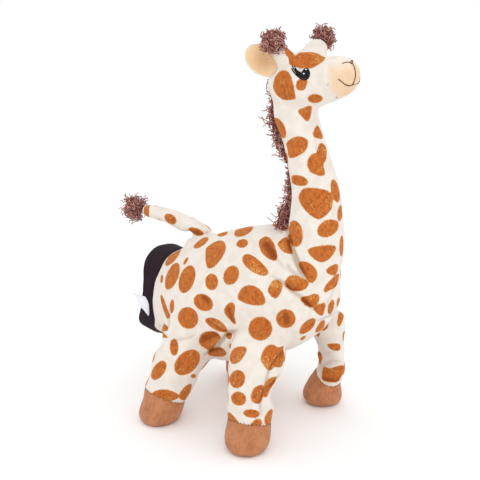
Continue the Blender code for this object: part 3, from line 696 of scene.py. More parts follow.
# Spots of another shape, as outlines in pixels of the photograph
outlineSpots = (
    ((288.7, 64.2), (292.2, 60.1), (295.2, 56), (299.9, 52.6), (306.4, 50.6), (311.6, 51),
     (318.1, 53), (321.6, 56), (328.7, 58.4), (324, 60.7), (318.1, 64.8), (311.1, 68.4),
     (303.4, 67.8), (299.9, 68.4), (295.8, 66.6), (291.6, 65.4)),
    ((273.2, 84.7), (274.8, 78), (279.8, 71.4), (286.4, 70.6), (290.6, 75.5), (293, 83.8),
     (294.7, 93), (295.6, 98.7), (289.8, 100), (283, 99.6), (276.5, 94.6), (273.2, 88)),
    ((298.4, 79.5), (307.5, 79.5), (306.6, 84.2), (304.6, 89.5), (298.1, 90.1), (296.1, 86)),
    ((298, 110.4), (304, 108), (310.5, 105.4), (311.3, 112.8), (308, 121.5), (301.4, 116)),
    ((317.5, 125.3), (322.9, 137.7), (318, 138.5), (313, 135)),
    ((286.4, 143), (293.3, 137.8), (300, 136.6), (307.6, 140), (307, 147.6), (302.5, 153.3),
     (289.9, 157.9), (287.5, 148.7)),
    ((317.4, 144.7), (324.3, 143.5), (326.6, 149.9), (326, 159), (322.6, 166), (326, 174),
     (319.7, 175.7), (310.5, 171.7), (307, 162.5), (311.7, 154.4), (318.6, 152)),
    ((298.5, 194.6), (303.6, 188.9), (317.4, 188.3), (328.9, 191.8), (332.9, 200.4),
     (331.2, 209.6), (320.8, 218.7), (314, 217.6), (304.8, 209.6), (299, 200.4)),
    ((307.6, 250.3), (315, 246.9), (334.6, 245.7), (334.6, 252), (327.7, 260), (319.7, 262),
     (311.7, 256.6)),
    ((298.5, 262.4), (306, 261.8), (314, 267), (317.4, 273.8), (315, 280.7), (310.5, 283),
     (306, 277.3), (300, 268)),
    ((326, 269.8), (337, 264), (337, 272.7), (331, 275)),
    ((323.7, 288.8), (328.9, 281.9), (338, 273.8), (339.2, 276), (335.8, 286.5), (328.9, 290),
     (326, 293.4)),
    ((272.6, 220.4), (280, 221), (286, 225.7), (287.3, 232.4), (278, 228.4)),
    ((278, 243), (286, 237), (290, 245.8), (293.3, 253.8), (284.6, 252.5), (279.3, 247)),
    ((259, 241.8), (265.9, 236.4), (272.6, 241.8), (277.3, 256.5), (274, 261), (263, 253.8)),
    ((243, 255), (251, 255), (263, 264.6), (270, 274.6), (260.5, 275.3), (248.5, 268.6),
     (243, 262)),
    ((207, 245.8), (215, 239.8), (223.7, 241.8), (225.7, 248.5), (221.7, 257.9), (211, 269.2),
     (206.3, 264.6), (205.6, 255)),
    ((268.6, 287.3), (275.3, 279.3), (282, 284.6), (280.6, 292.7), (275.3, 298.7), (268.6, 292.7)),
    ((284.6, 283.3), (288.7, 276.6), (295.3, 275.3), (306, 280.6), (308.7, 284.6), (303.4, 290),
     (294, 291.3), (287.3, 288)),
    ((237.8, 295.4), (243, 287.3), (251, 285.3), (260.5, 290), (265.2, 299.4), (263.2, 304.7),
     (251, 304.7), (239, 300)),
    ((224.4, 308.7), (229.7, 302.7), (235, 304.7), (233.7, 316.8), (236.4, 322), (235, 324.8),
     (229.7, 319.5), (225, 314)),
    ((205, 319.5), (213.7, 318), (223, 323.5), (227.7, 331.5), (220.4, 331.5), (209.6, 326)),
    ((199, 339.5), (203, 332.9), (213.7, 331.5), (221.7, 335.5), (215, 344.9), (209.6, 349.6),
     (200.3, 344.9)),
    ((207, 353), (215, 348.3), (221.7, 347.6), (226.4, 353), (223, 356.3), (213.7, 356.3)),
    ((225, 334.2), (232.4, 332.9), (229.7, 339.5)),
    ((300, 298), (307.4, 296), (316.8, 294), (319.5, 299.4), (312.8, 307.4), (304.7, 304.7)),
    ((314, 307.4), (324.8, 302.7), (324, 311.4), (322, 316), (315.4, 311.4)),
    ((299.4, 332.9), (303.4, 323.5), (312.8, 318), (315.4, 320.8), (312.8, 327.5), (304.7, 333.5)),
    ((315.4, 331.5), (320.8, 320.8), (324.8, 320.8), (323.5, 327.5), (319.5, 331.5)),
    ((152, 393.8), (157.4, 390.4), (166.8, 389.8), (176, 393), (178.8, 397), (170, 401),
     (158, 398)),
    ((178.8, 397), (184, 387.8), (191.5, 383.7), (189.5, 393), (185.5, 400)),
    ((261, 356.7), (266, 346.8), (273, 344.7), (280, 348), (288.6, 343.3), (285.7, 353.9),
     (281.5, 366.5), (274.5, 367), (269, 370.7), (262, 362.3)),
    ((229.6, 356.7), (235, 348), (246.5, 347.5), (245, 353.9), (239.4, 361.6), (232.4, 363.7)),
    ((251.4, 394.5), (254.9, 387.5), (263.3, 385.4), (262.6, 397.3), (259, 403.7), (252, 401.5)),
    ((263.3, 396), (265.4, 383.3), (270.3, 377.7), (278.7, 377.7), (271.7, 384.7), (267.5, 396)),
    ((225.8, 414.2), (231, 413.5), (239.4, 424), (238, 428), (226.8, 424)),
    ((250.7, 424), (256.3, 419.8), (261, 419.8), (260.5, 428), (250.7, 428)),
    ((265.4, 415.6), (271.7, 408.6), (273, 415.6), (271, 424), (265.4, 424)),
    ((327.5, 344.2), (339.5, 344.2), (339.5, 350.3), (331.5, 349.6)),
    ((315.4, 363.7), (318.8, 351.6), (322.8, 357), (318, 363.7)),
    ((319.5, 371.7), (323.5, 366.3), (330, 369), (340.9, 365), (343.6, 367.7), (342, 378.4),
     (334.2, 382.4), (322, 379.7)),
    ((286.4, 45.7), (290.6, 48), (293.5, 54), (293.9, 57.3), (289.8, 64), (289, 58), (290.6, 53)),
)
# Spots of the head that its far side repeats, by their place in the outlines above
repeatedOnFarCheek = (1, 2)

# Spots read from the photograph: how far their outline may lie from the middle, on the skin and at
# all, where they end as the skin turns away, and the width that is tested around them
photoSpots = {"farthest": 26.0, "longest": 15.0, "turned": 0.05, "turnSlope": 25, "margin": 6.0,
              "sides": 16}
# depth in a spot, in millimetres, beyond which nothing changes any more
spotDepth = 12.0
# Spots drawn on the sides that the photograph doesn't show. facing: how much the skin has to face
# away from the camera, at all and on the head; sight: how far a seen point may lie from its skin
farSpots = {"seed": 11, "tries": 5200, "gap": 4.6, "facing": 0.12, "headFacing": -0.35,
            "sight": 4.0, "stretch": (0.72, 1.0), "wobble": (-0.1, 0.1), "sides": 24,
            "sizes": {"torso": (7.0, 11.5), "neck": (6.5, 11.0), "leg": (6.0, 8.5),
                      "head": (4.5, 6.5), "tail": (3.5, 4.5), "horn": (1.0, 1.2)}}


def ovalOutline(x, y, halfLong, halfShort, tilt):
    turn = math.radians(tilt)
    points = []
    for step in range(photoSpots["sides"]):
        angle = 2 * math.pi * step / photoSpots["sides"]
        u = halfLong * math.cos(angle)
        v = halfShort * math.sin(angle)
        points.append((x + u * math.cos(turn) - v * math.sin(turn),
                       y + u * math.sin(turn) + v * math.cos(turn)))
    return points


def roundOutline(points):
    # a closed smooth curve through the outline's points
    result = []
    count = len(points)
    for index in range(count):
        a, b, c, d = (points[(index + shift) % count] for shift in (-1, 0, 1, 2))
        for step in range(4):
            t = step / 4
            result.append(tuple(
                0.5 * (2 * q + (r - p) * t + (2 * p - 5 * q + 4 * r - s) * t * t
                       + (3 * q - p - 3 * r + s) * t ** 3) for p, q, r, s in zip(a, b, c, d)))
    return result


def tangentFrame(normal):
    wide = normal.orthogonal().normalized()
    return wide, normal.cross(wide)


class Spot:
    # a blob on the surface: its reach from its centre in each direction of the tangent plane
    def __init__(self, centre, normal, angles, reaches):
        self.centre = centre
        self.normal = normal
        order = np.argsort(angles)
        self.angles = np.array(angles)[order]
        self.reaches = np.array(reaches)[order]

    def inside(self, offsets, normals):
        wide, tall = tangentFrame(self.normal)
        u = offsets @ np.array(wide)
        v = offsets @ np.array(tall)
        length = np.linalg.norm(offsets, axis=1)
        reach = np.interp(np.arctan2(v, u), self.angles, self.reaches, period=2 * math.pi)
        facing = normals @ np.array(self.normal)
        return np.minimum(reach - length,
                          (facing - photoSpots["turned"]) * photoSpots["turnSlope"] * mm)


def photoSpot(tree, outline):
    outline = roundOutline(outline)
    middleX = sum(x for x, y in outline) / len(outline)
    middleY = sum(y for x, y in outline) / len(outline)
    centre, normal = tree.ray_cast(cameraPlace, pixelRay(middleX, middleY))[:2]
    if centre is None:
        return None
    wide, tall = tangentFrame(normal)
    angles = []
    reaches = []
    for x, y in outline:
        direction = pixelRay(x, y)
        place = cameraPlace + direction * ((centre - cameraPlace).dot(normal)
                                           / direction.dot(normal))
        hit, facing = tree.ray_cast(cameraPlace, direction)[:2]
        limit = photoSpots["farthest"] * mm
        if hit is not None and facing.dot(normal) > 0 and (hit - centre).length < limit:
            place = hit
        offset = place - centre
        angles.append(math.atan2(offset.dot(tall), offset.dot(wide)))
        reaches.append(min(offset.length, photoSpots["longest"] * mm))
    return Spot(centre, normal, angles, reaches)


def flippedSpot(spot):
    # the same spot on the other side of the face
    local = toHead(spot.centre)
    turned = headSpin.transposed() @ spot.normal
    centre = fromHead(Vector((-local.x, local.y, local.z)))
    normal = headSpin @ Vector((-turned.x, turned.y, turned.z))
    wide, tall = tangentFrame(spot.normal)
    newWide, newTall = tangentFrame(normal)
    angles = []
    for angle in spot.angles:
        ray = headSpin.transposed() @ (wide * math.cos(angle) + tall * math.sin(angle))
        flipped = headSpin @ Vector((-ray.x, ray.y, ray.z))
        angles.append(math.atan2(flipped.dot(newTall), flipped.dot(newWide)))
    return Spot(centre, normal, angles, list(spot.reaches))


def printSpot(field, skin, normals, kd, spot):
    limit = float(spot.reaches.max()) + photoSpots["margin"] * mm
    found = [index for _, index, _ in kd.find_range(spot.centre, limit)]
    if not found:
        return
    found = np.array(found)
    depth = spot.inside(skin.points[found] - np.array(spot.centre), normals[found])
    field[found] = np.maximum(field[found], depth / mm)


def spotField(skin, owner, names):
    tree = skin.tree()
    normals = skin.normals()
    kd = skin.nearTree()
    field = np.full(len(skin.points), -spotDepth)
    outlines = list(outlineSpots) + [ovalOutline(*oval) for oval in ovalSpots]
    for index, outline in enumerate(outlines):
        spot = photoSpot(tree, outline)
        if spot is None:
            continue
        printSpot(field, skin, normals, kd, spot)
        if index in repeatedOnFarCheek:
            printSpot(field, skin, normals, kd, flippedSpot(spot))
    toCamera = np.array(cameraPlace) - skin.points
    toCamera /= np.linalg.norm(toCamera, axis=1)[:, None]
    facing = np.sum(toCamera * normals, axis=1)
    hidden = facing < farSpots["facing"]
    awayFromEdge = facing < farSpots["headFacing"]
    chance = random.Random(farSpots["seed"])
    for _ in range(farSpots["tries"]):
        index = chance.randrange(len(skin.points))
        kind = names[owner[index]].split("_")[0]
        low, high = farSpots["sizes"][kind]
        size = chance.uniform(low, high)
        if kind == "horn" or field[index] > -(size + farSpots["gap"]):
            continue
        if kind == "head" and not awayFromEdge[index]:
            continue
        centre = Vector(skin.points[index])
        if not hidden[index]:
            seen = tree.ray_cast(cameraPlace, (centre - cameraPlace).normalized())[0]
            if (seen - centre).length < farSpots["sight"] * mm:
                continue
        stretch = chance.uniform(*farSpots["stretch"])
        turn = chance.uniform(0, math.pi)
        wobble = [chance.uniform(*farSpots["wobble"]) for _ in range(3)]
        sides = farSpots["sides"]
        angles = [2 * math.pi * step / sides - math.pi for step in range(sides)]
        reaches = []
        for angle in angles:
            oval = 1 / math.hypot(math.cos(angle - turn), math.sin(angle - turn) / stretch)
            bumps = 1 + sum(height * math.cos((order + 1) * angle + order)
                            for order, height in enumerate(wobble))
            reaches.append(size * oval * bumps * mm)
        printSpot(field, skin, normals, kd,
                  Spot(centre, Vector(normals[index]), angles, reaches))
    return skin.evened(field, 2)


# Planes where the skin is sewn or cut into its pieces: a place, a direction and a reach

# how far a plane cuts around its place, for a hoof beyond the ankle's radius, and beside itself
cutReach = {"hem": 85, "neck": 70, "head": 45, "muzzle": 40, "hoof": 12, "beside": 5}
Cut = namedtuple("Cut", "place normal reach")
neckAxis = Vector((0, -1, 1)).normalized()
headAxis = Vector((0, -0.6, 0.8))
blendSpans = {"neck": (-13.0, 14.0), "head": (-33.5, -14.5), "leg": (0.5, 24.0),
              "tail": (0.5, 15.5)}
# the tail's span runs up and backwards, a leg's along the normal of its own seam
tailAxis = np.array((0, 1, 1)) / math.sqrt(2)
# tilt of a hoof's seam and how far it sits up the leg, where it isn't level
hoofSeams = {"front_left": (-16.0, 3.5)}
seams = {"muzzle": 44.5, "hem": 64.15, "hemHeight": 100, "depth": 0.9, "width": 1.3}
clearance = 1.2
# the peach starts this far past the seam, and fades out over the top of the muzzle
muzzleFade = {"reach": 8.0, "top": 4.0, "soft": 12.0, "power": 1.5}


def makeCuts():
    neckBase = Vector((0, neck["baseY"], neck["baseZ"]))
    cuts = {
        "hem": Cut(Vector((0, seams["hem"], seams["hemHeight"])), Vector((0, 1, 0)),
                   cutReach["hem"]),
        "neck": Cut(neckBase + neckAxis * (blendSpans["neck"][0] - clearance), neckAxis,
                    cutReach["neck"]),
        "head": Cut(headCentre + headAxis * (blendSpans["head"][0] - clearance), headAxis,
                    cutReach["head"]),
        "muzzle": Cut(headCentre + headSpin @ Vector((0, -seams["muzzle"], 0)),
                      headSpin @ Vector((0, -1, 0)), cutReach["muzzle"]),
    }
    for side, sideName in ((1, "left"), (-1, "right")):
        for end, leg in legs.items():
            _, down, ankle = legRings(leg, side)
            tilt, lift = hoofSeams.get(f"{end}_{sideName}", (0.0, 0.0))
            slant = Matrix.Rotation(math.radians(tilt), 3, cameraBack) @ down
            cuts[f"leg_{end}_{sideName}"] = Cut(ankle - down * lift, slant,
                                                leg.ankle + cutReach["hoof"])
    return cuts


def cutPlanes(skin, cuts):
    # clean edges along every plane
    mesh = skin.toMesh()
    bm = bmesh.new()
    bm.from_mesh(mesh)
    for cut in cuts.values():
        place = cut.place * mm
        faces = [face for face in bm.faces
                 if (face.calc_center_median() - place).length < cut.reach * mm
                 and (abs((face.calc_center_median() - place).dot(cut.normal))
                      < cutReach["beside"] * mm)]
        geometry = set(faces)
        for face in faces:
            geometry.update(face.edges)
            geometry.update(face.verts)
        bmesh.ops.bisect_plane(bm, geom=list(geometry), dist=0.02 * mm, plane_co=place,
                               plane_no=cut.normal)
    bm.to_mesh(mesh)
    bm.free()
    return Skin(mesh)


def faceRegions(skin, distances, cuts):
    # which piece each face belongs to
    names = list(distances)
    values = np.array([distances[name] for name in names])
    regions = []
    for index, face in enumerate(skin.faces):
        owner = names[int(np.argmin(values[:, list(face)].mean(axis=1)))]
        place = Vector(skin.middles[index]) / mm
        beyond = {name: (place - cut.place).dot(cut.normal) > 0 for name, cut in cuts.items()}
        if owner.startswith("leg"):
            regions.append(owner.replace("leg", "hoof") if beyond[owner] else owner)
        elif owner == "tail":
            regions.append(owner)
        elif beyond["head"]:
            regions.append("muzzle" if beyond["muzzle"] else "head")
        elif beyond["neck"]:
            regions.append("neck")
        else:
            regions.append("spare" if beyond["hem"] else "torso")
    return np.array(regions)


def isLimb(name):
    return name.startswith(("leg", "tail"))


def cornersOf(skin, chosen):
    # the corners of the chosen faces, as a set
    return {corner for index in np.flatnonzero(chosen) for corner in skin.faces[index]}


def evenBorders(skin, regions):
    # the line between a limb and the body runs smoothly
    border = (cornersOf(skin, [isLimb(region) for region in regions])
              & cornersOf(skin, regions == "torso"))
    around = {corner: [] for corner in border}
    for a, b in skin.edges:
        if a in border and b in border:
            around[a].append(b)
            around[b].append(a)
    for _ in range(surface["borderRounds"]):
        moved = {corner: 0.5 * skin.points[corner] + 0.5 * skin.points[near].mean(axis=0)
                 for corner, near in around.items() if len(near) == 2}
        for corner, place in moved.items():
            skin.points[corner] = place


def pinchSeams(skin, cuts):
    # a sewn seam draws the cloth in along its line
    normals = skin.normals()
    for name, cut in cuts.items():
        if name in ("neck", "head", "hem"):
            continue
        offset = skin.points / mm - np.array(cut.place)
        along = offset @ np.array(cut.normal)
        near = np.linalg.norm(offset, axis=1) < cut.reach
        depth = seams["depth"] * np.exp(-(along / seams["width"]) ** 2) * near
        skin.points -= normals * depth[:, None] * mm


# Materials

def newMaterial(name, roughness, sheen=0.0, specular=0.3):
    material = bpy.data.materials.new(name)
    material.use_nodes = True
    tree = material.node_tree
    shader = tree.nodes["Principled BSDF"]
    shader.inputs["Roughness"].default_value = roughness
    shader.inputs["Sheen Weight"].default_value = sheen
    shader.inputs["Specular IOR Level"].default_value = specular
    return material, tree, shader


# Printed short-pile plush: cream pile, matt, rust spots with a ragged edge and golden tips of pile,
# with painted shade in its creases and painted highlight and painted shade along its folds
plushLook = {"base": "#E8E0D7", "baseShade": "#DFD6CB", "spot": "#C16B30", "spotDeep": "#93461A",
             "spotTipAndHighlight": "#E2A45A", "edge": "#C48A4A", "fold": "#A8907A", "paintedSpotShade": "#7E3814",
             "groundSheen": "#FFFFFF", "spotSheen": "#FFD28C", "roughness": 0.92, "sheen": 0.25,
             "specular": 0.12, "bump": 0.6, "bumpStrength": 0.4, "mottleHeight": 0.8}
# noise patterns: size in millimetres, detail, stretch. The pile is coarser than it is, to show
plushGrains = {"ragged": (1.3, 3.0, (1, 1, 1)), "patch": (9.0, 3.0, (1, 1, 1)),
               "mottle": (2.6, 4.0, (1, 1, 0.6)), "tip": (1.0, 3.0, (1, 1, 0.7)),
               "fleck": (0.9, 3.0, (1, 1, 0.4)), "strokeHighlight": (1.1, 3.0, (1, 1, 0.6)),
               "pile": (0.8, 4.0, (1, 1, 1))}
# where each mask starts and is full; the fold masks paint shade into the creases by their depth,
# and the stroke masks paint highlight and shade along the folds
plushMasks = {"printed": ("ragged", 0.42, 0.80), "halo": ("ragged", -0.15, 0.45),
              "core": ("ragged", 0.6, 1.7), "fold": ("fold", 0.25, 2.4),
              "deepFoldShade": ("fold", 0.5, 2.1), "patch": ("patch", 0.38, 0.66),
              "mottle": ("mottle", 0.46, 0.66), "tip": ("tip", 0.58, 0.70),
              "fleck": ("fleck", 1.12, 1.24), "strokeHighlight": ("strokeHighlight", 2.70, 3.10),
              "strokeShade": ("paintedLight", -0.1, -0.8)}
# patterns that are sums: their own noise times a factor, plus another value
plushSums = {"ragged": (1.5, "spot"), "fleck": (1.0, "patch"), "strokeHighlight": (4.0, "paintedLight")}
# what is mixed into the ground and into the dyed cloth, with its share: the fold colours are
# painted shade, and the golden tips along the strokes are also a painted highlight
plushMixes = (("ground", "patch", 0.8, "baseShade"), ("ground", "fold", 0.62, "fold"),
              ("ground", "halo", 0.16, "edge"), ("dyed", "patch", 0.3, "spotDeep"),
              ("dyed", "mottle", 0.6, "spotDeep"), ("dyed", "tip", 0.4, "spotTipAndHighlight"),
              ("dyed", "fleck", 0.5, "spotTipAndHighlight"),
              ("dyed", "strokeHighlight", 0.75, "spotTipAndHighlight"), ("dyed", "strokeShade", 0.7, "paintedSpotShade"),
              ("dyed", "deepFoldShade", 0.7, "paintedSpotShade"))


def plushMaterial():
    material, tree, shader = newMaterial("spottedPlush", plushLook["roughness"],
                                         plushLook["sheen"], plushLook["specular"])
    place = addNode(tree, "ShaderNodeTexCoord").outputs["Object"]
    # the crease depth paints shade into the creases; the strokes paint highlight and shade
    values = {name: addNode(tree, "ShaderNodeAttribute", attribute_name=attribute).outputs["Fac"]
              for name, attribute in (("spot", "spot"), ("fold", "crease"),
                                      ("paintedLight", "paintedLight"))}
    for name, (size, detail, stretch) in plushGrains.items():
        mapping = addNode(tree, "ShaderNodeMapping", (("Vector", place), ("Scale", stretch)))
        values[name] = addNode(tree, "ShaderNodeTexNoise",
                               (("Vector", mapping.outputs[0]), ("Scale", 1 / (size * mm)),
                                ("Detail", detail))).outputs["Fac"]
    for name, (factor, added) in plushSums.items():
        values[name] = addNode(tree, "ShaderNodeMath",
                               ((0, values[name]), (1, factor), (2, values[added])),
                               operation="MULTIPLY_ADD").outputs[0]
    masks = {}
    for name, (source, low, high) in plushMasks.items():
        masks[name] = addNode(tree, "ShaderNodeMapRange",
                              (("Value", values[source]), ("From Min", low), ("From Max", high)),
                              interpolation_type="SMOOTHSTEP").outputs["Result"]
    colours = {"ground": srgb(plushLook["base"]), "dyed": srgb(plushLook["spot"])}
    for target, mask, share, colour in plushMixes:
        amount = addNode(tree, "ShaderNodeMath", ((0, masks[mask]), (1, share)),
                         operation="MULTIPLY").outputs[0]
        colours[target] = addNode(tree, "ShaderNodeMix",
                                  ((0, amount), (6, colours[target]), (7, srgb(plushLook[colour]))),
                                  data_type="RGBA").outputs[2]
    edged = addNode(tree, "ShaderNodeMix",
                    ((0, masks["core"]), (6, srgb(plushLook["edge"])), (7, colours["dyed"])),
                    data_type="RGBA").outputs[2]
    colour = addNode(tree, "ShaderNodeMix",
                     ((0, masks["printed"]), (6, colours["ground"]), (7, edged)),
                     data_type="RGBA").outputs[2]
    tree.links.new(colour, shader.inputs["Base Color"])
    sheen = addNode(tree, "ShaderNodeMix",
                    ((0, masks["printed"]), (6, srgb(plushLook["groundSheen"])),
                     (7, srgb(plushLook["spotSheen"]))), data_type="RGBA").outputs[2]
    tree.links.new(sheen, shader.inputs["Sheen Tint"])
    height = addNode(tree, "ShaderNodeMath",
                     ((0, values["mottle"]), (1, plushLook["mottleHeight"]),
                      (2, values["pile"])), operation="MULTIPLY_ADD").outputs[0]
    bump = addNode(tree, "ShaderNodeBump",
                   (("Height", height), ("Strength", plushLook["bumpStrength"]),
                    ("Distance", plushLook["bump"] * mm)))
    tree.links.new(bump.outputs[0], shader.inputs["Normal"])
    return material


# What all cloths without a print share: the size of their patches, the detail of both noises, where
# their second colour starts and is full, and the shine and relief of their threads
clothPattern = {"patch": 9.0, "patchDetail": 2.0, "grainDetail": 3.0, "starts": 0.8, "full": 1.25,
                "specular": 0.2, "bumpStrength": 0.5}
# Cloths without a print. The tone attribute of a piece brings in the third colour where it has one
Cloth = namedtuple("Cloth", "light dark toned size stretch height roughness sheen")
clothLooks = {
    # peach velour that fades to cream where it meets the plush of the face
    "muzzleVelour": Cloth("#E8CCAA", "#E0BE98", "#E9DFD2", 0.8, (1, 1, 1), 0.3, 0.9, 0.25),
    # the same velour in the ears, with painted shade down in the bowl of the ear
    "earVelour": Cloth("#EFD0A8", "#E8C499", "#D5A678", 0.7, (1, 1, 1), 0.3, 0.9, 0.25),
    # tan knit of the hooves: fine upright ribs
    "hoofKnit": Cloth("#C2845C", "#A96C47", None, 1.0, (1, 1, 0.14), 0.7, 0.95, 0.15),
    # brown acrylic yarn, each strand its own shade between dark brown and a dusty pink
    "brownYarn": Cloth("#B3695C", "#7C3A2E", "#DDAA9C", 2.2, (1, 1, 1), 0.2, 0.9, 0.12),
    # purple-black jersey of the sleeve, a little shiny on its folds
    "blackJersey": Cloth("#1F131B", "#2A1B25", None, 0.8, (1, 1, 1), 0.12, 0.75, 0.02),
    # woven white ribbon of the bare label
    "labelRibbon": Cloth("#EDEDF3", "#DCDCE6", None, 0.5, (1, 1, 0.2), 0.1, 0.7, 0.1),
    # matt brown thread of the smile
    "smileThread": Cloth("#6E3C34", "#502A24", None, 0.4, (1, 1, 1), 0.1, 0.6, 0.1),
    # glossy embroidery threads of the eyes
    "blackThread": Cloth("#090708", "#131011", None, 0.4, (1, 1, 1), 0.15, 0.5, 0.0),
    "brownThread": Cloth("#4E2C20", "#382018", None, 0.4, (1, 1, 1), 0.1, 0.35, 0.1),
    "whiteThread": Cloth("#F4F4F6", "#D6D4DA", None, 0.4, (1, 1, 1), 0.1, 0.35, 0.1),
    "greyThread": Cloth("#DAD8DC", "#BDBAC0", None, 0.4, (1, 1, 1), 0.1, 0.4, 0.1),
}


def clothMaterial(name):
    look = clothLooks[name]
    pattern = clothPattern
    material, tree, shader = newMaterial(name, look.roughness, look.sheen, pattern["specular"])
    place = addNode(tree, "ShaderNodeTexCoord").outputs["Object"]
    mapping = addNode(tree, "ShaderNodeMapping", (("Vector", place), ("Scale", look.stretch)))
    grain = addNode(tree, "ShaderNodeTexNoise",
                    (("Vector", mapping.outputs[0]), ("Scale", 1 / (look.size * mm)),
                     ("Detail", pattern["grainDetail"])))
    patch = addNode(tree, "ShaderNodeTexNoise",
                    (("Vector", place), ("Scale", 1 / (pattern["patch"] * mm)),
                     ("Detail", pattern["patchDetail"])))
    both = addNode(tree, "ShaderNodeMath", ((0, grain.outputs["Fac"]), (1, patch.outputs["Fac"])),
                   operation="ADD")
    share = addNode(tree, "ShaderNodeMapRange",
                    (("Value", both.outputs[0]), ("From Min", pattern["starts"]),
                     ("From Max", pattern["full"])))
    colour = addNode(tree, "ShaderNodeMix", ((0, share.outputs["Result"]), (6, srgb(look.light)),
                                             (7, srgb(look.dark))), data_type="RGBA")
    if look.toned:
        tone = addNode(tree, "ShaderNodeAttribute", attribute_name="tone").outputs["Fac"]
        colour = addNode(tree, "ShaderNodeMix", ((0, tone), (6, colour.outputs[2]),
                                                 (7, srgb(look.toned))), data_type="RGBA")
    tree.links.new(colour.outputs[2], shader.inputs["Base Color"])
    bump = addNode(tree, "ShaderNodeBump",
                   (("Height", grain.outputs["Fac"]), ("Strength", pattern["bumpStrength"]),
                    ("Distance", look.height * mm)))
    tree.links.new(bump.outputs[0], shader.inputs["Normal"])
    return material


# Pieces cut out of the skin

# depth in a spot, in millimetres, of cloth that has no spot
unprinted = -8.0


def muzzleTone(skin):
    # 1 where the muzzle's velour is still cream, at its seam and along its top
    local = (skin.points / mm - np.array(headCentre)) @ np.array(headSpin)
    ahead = (-local[:, 1] - seams["muzzle"]) / muzzleFade["reach"]
    above = (local[:, 2] - muzzleFade["top"]) / muzzleFade["soft"]
    tone = np.maximum(1 - ahead, above)
    return np.clip(tone, 0, 1) ** muzzleFade["power"]


def cutPiece(skin, name, chosen, normals, fields, material, hidden=None):
    # the chosen faces of the skin as a piece, with the whole skin's shading along its edges
    used, faces = compacted([skin.faces[index] for index in np.flatnonzero(chosen)])
    points = [skin.points[index] for index in used]
    pointNormals = [normals[index] for index in used]
    values = {key: [field[index] for index in used] for key, field in fields.items()}
    if hidden is not None:
        hiddenPoints, hiddenFaces, hiddenNormals = hidden
        start = len(points)
        points += list(hiddenPoints)
        faces += [tuple(start + corner for corner in face) for face in hiddenFaces]
        pointNormals += list(hiddenNormals)
        for key in values:
            values[key] += [unprinted if key == "spot" else 0.0] * len(hiddenPoints)
    obj = meshObject(name, points, faces)
    obj.data.shade_smooth()
    for key, data in values.items():
        setField(obj, key, data)
    obj.data.normals_split_custom_set_from_vertices([tuple(normal) for normal in pointNormals])
    obj.data.materials.append(material)
    return obj


# how far outside its neighbour a hidden part still goes, and how near the skin it is sunk
hiddenReach = {"outside": 3.0, "skin": 4.0}


def hiddenPart(form, others, skinTree):
    # what a form keeps inside its neighbours, sunk below the skin, so that a bent joint has no hole
    points, faces = form
    inner = np.zeros(len(points), dtype=bool)
    for other in others:
        tree = BVHTree.FromPolygons(*other)
        for index, point in enumerate(points):
            place, normal, _, length = tree.find_nearest(point)
            if (point - place).dot(normal) < 0 or length < hiddenReach["outside"] * mm:
                inner[index] = True
    chosen = [face for face in faces if all(inner[corner] for corner in face)]
    mesh = bpy.data.meshes.new("probe")
    mesh.from_pydata([tuple(point) for point in points], [], faces)
    normals = [vertex.normal.copy() for vertex in mesh.vertices]
    bpy.data.meshes.remove(mesh)
    used, sunkFaces = compacted(chosen)
    sunk = []
    for index in used:
        point = points[index]
        place, normal, _, length = skinTree.find_nearest(point)
        depth = -(point - place).dot(normal)
        if length < hiddenReach["skin"] * mm and depth < clearance * mm:
            point = point - normal * (clearance * mm - depth)
        sunk.append(point)
    return sunk, sunkFaces, [normals[index] for index in used]


def limbSpan(skin, regions, limb, axis=None):
    # points past a limb's whole seam with the body, over its blend span
    onLimb = cornersOf(skin, regions == limb)
    seam = skin.points[sorted(onLimb & cornersOf(skin, regions == "torso"))]
    middle = seam.mean(axis=0)
    if axis is None:
        axis = np.linalg.svd(seam - middle)[2][2]
        axis *= np.sign((skin.points[sorted(onLimb)].mean(axis=0) - middle) @ axis)
    edge = ((seam - middle) @ axis).max()
    return [tuple(middle + axis * (edge + along * mm))
            for along in blendSpans[limb.split("_")[0]]]


def makeSkinPieces(skin, regions, cuts, forms, fields, materials):
    normals = skin.normals()
    skinTree = skin.tree()
    limbs = [name for name in forms if isLimb(name)]
    hidden = {name: hiddenPart(forms[name], [forms["torso"]], skinTree) for name in limbs}
    hidden["torso"] = hiddenPart(forms["torso"], [forms[name] for name in limbs], skinTree)
    for region in sorted(set(regions)):
        if region == "spare":
            continue
        kind = region.split("_")[0]
        material = materials[{"muzzle": "muzzleVelour", "hoof": "hoofKnit"}.get(kind, "plush")]
        prefix = "cloth" if kind in ("hoof", "muzzle") else "plush"
        piece = cutPiece(skin, f"{prefix}_{region}", regions == region, normals, fields, material,
                         hidden.get(region))
        ending = region[len(kind):]
        if kind == "torso":
            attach(piece, "torso")
            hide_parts("torso_skin", "torso_padding")
        elif kind == "neck":
            pivot = cuts["neck"].place - neckAxis * (blendSpans["neck"][0] - clearance)
            span = [tuple((pivot + neckAxis * along) * mm) for along in blendSpans["neck"]]
            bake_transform(piece)
            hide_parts("neck_skin", "neck_stuffing")
        elif kind == "head":
            span = [tuple((headCentre + headAxis * along) * mm) for along in blendSpans["head"]]
            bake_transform(piece)
            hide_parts("head_skin", "head_stuffing", "horn_left", "horn_right")
        elif kind == "muzzle":
            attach(piece, "head")
            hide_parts("muzzle_skin")
        elif kind == "tail":
            span = limbSpan(skin, regions, region, tailAxis)
            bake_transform(piece)
            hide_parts("tail_skin", "tail_stuffing")
        elif kind == "hoof":
            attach(piece, "leg" + ending)
            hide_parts("hoof" + ending)
        else:
            span = limbSpan(skin, regions, region)
            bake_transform(piece)
            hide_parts("leg_skin" + ending, "leg_stuffing" + ending)


# The thread that sews each hoof on: how far apart the stitches are, their length and thickness, and
# how far they stand out, of which the middle of a stitch takes the crown's share
hoofStitch = {"apart": 2.4, "length": 2.6, "radius": 0.28, "lift": 0.5, "crown": 0.7}


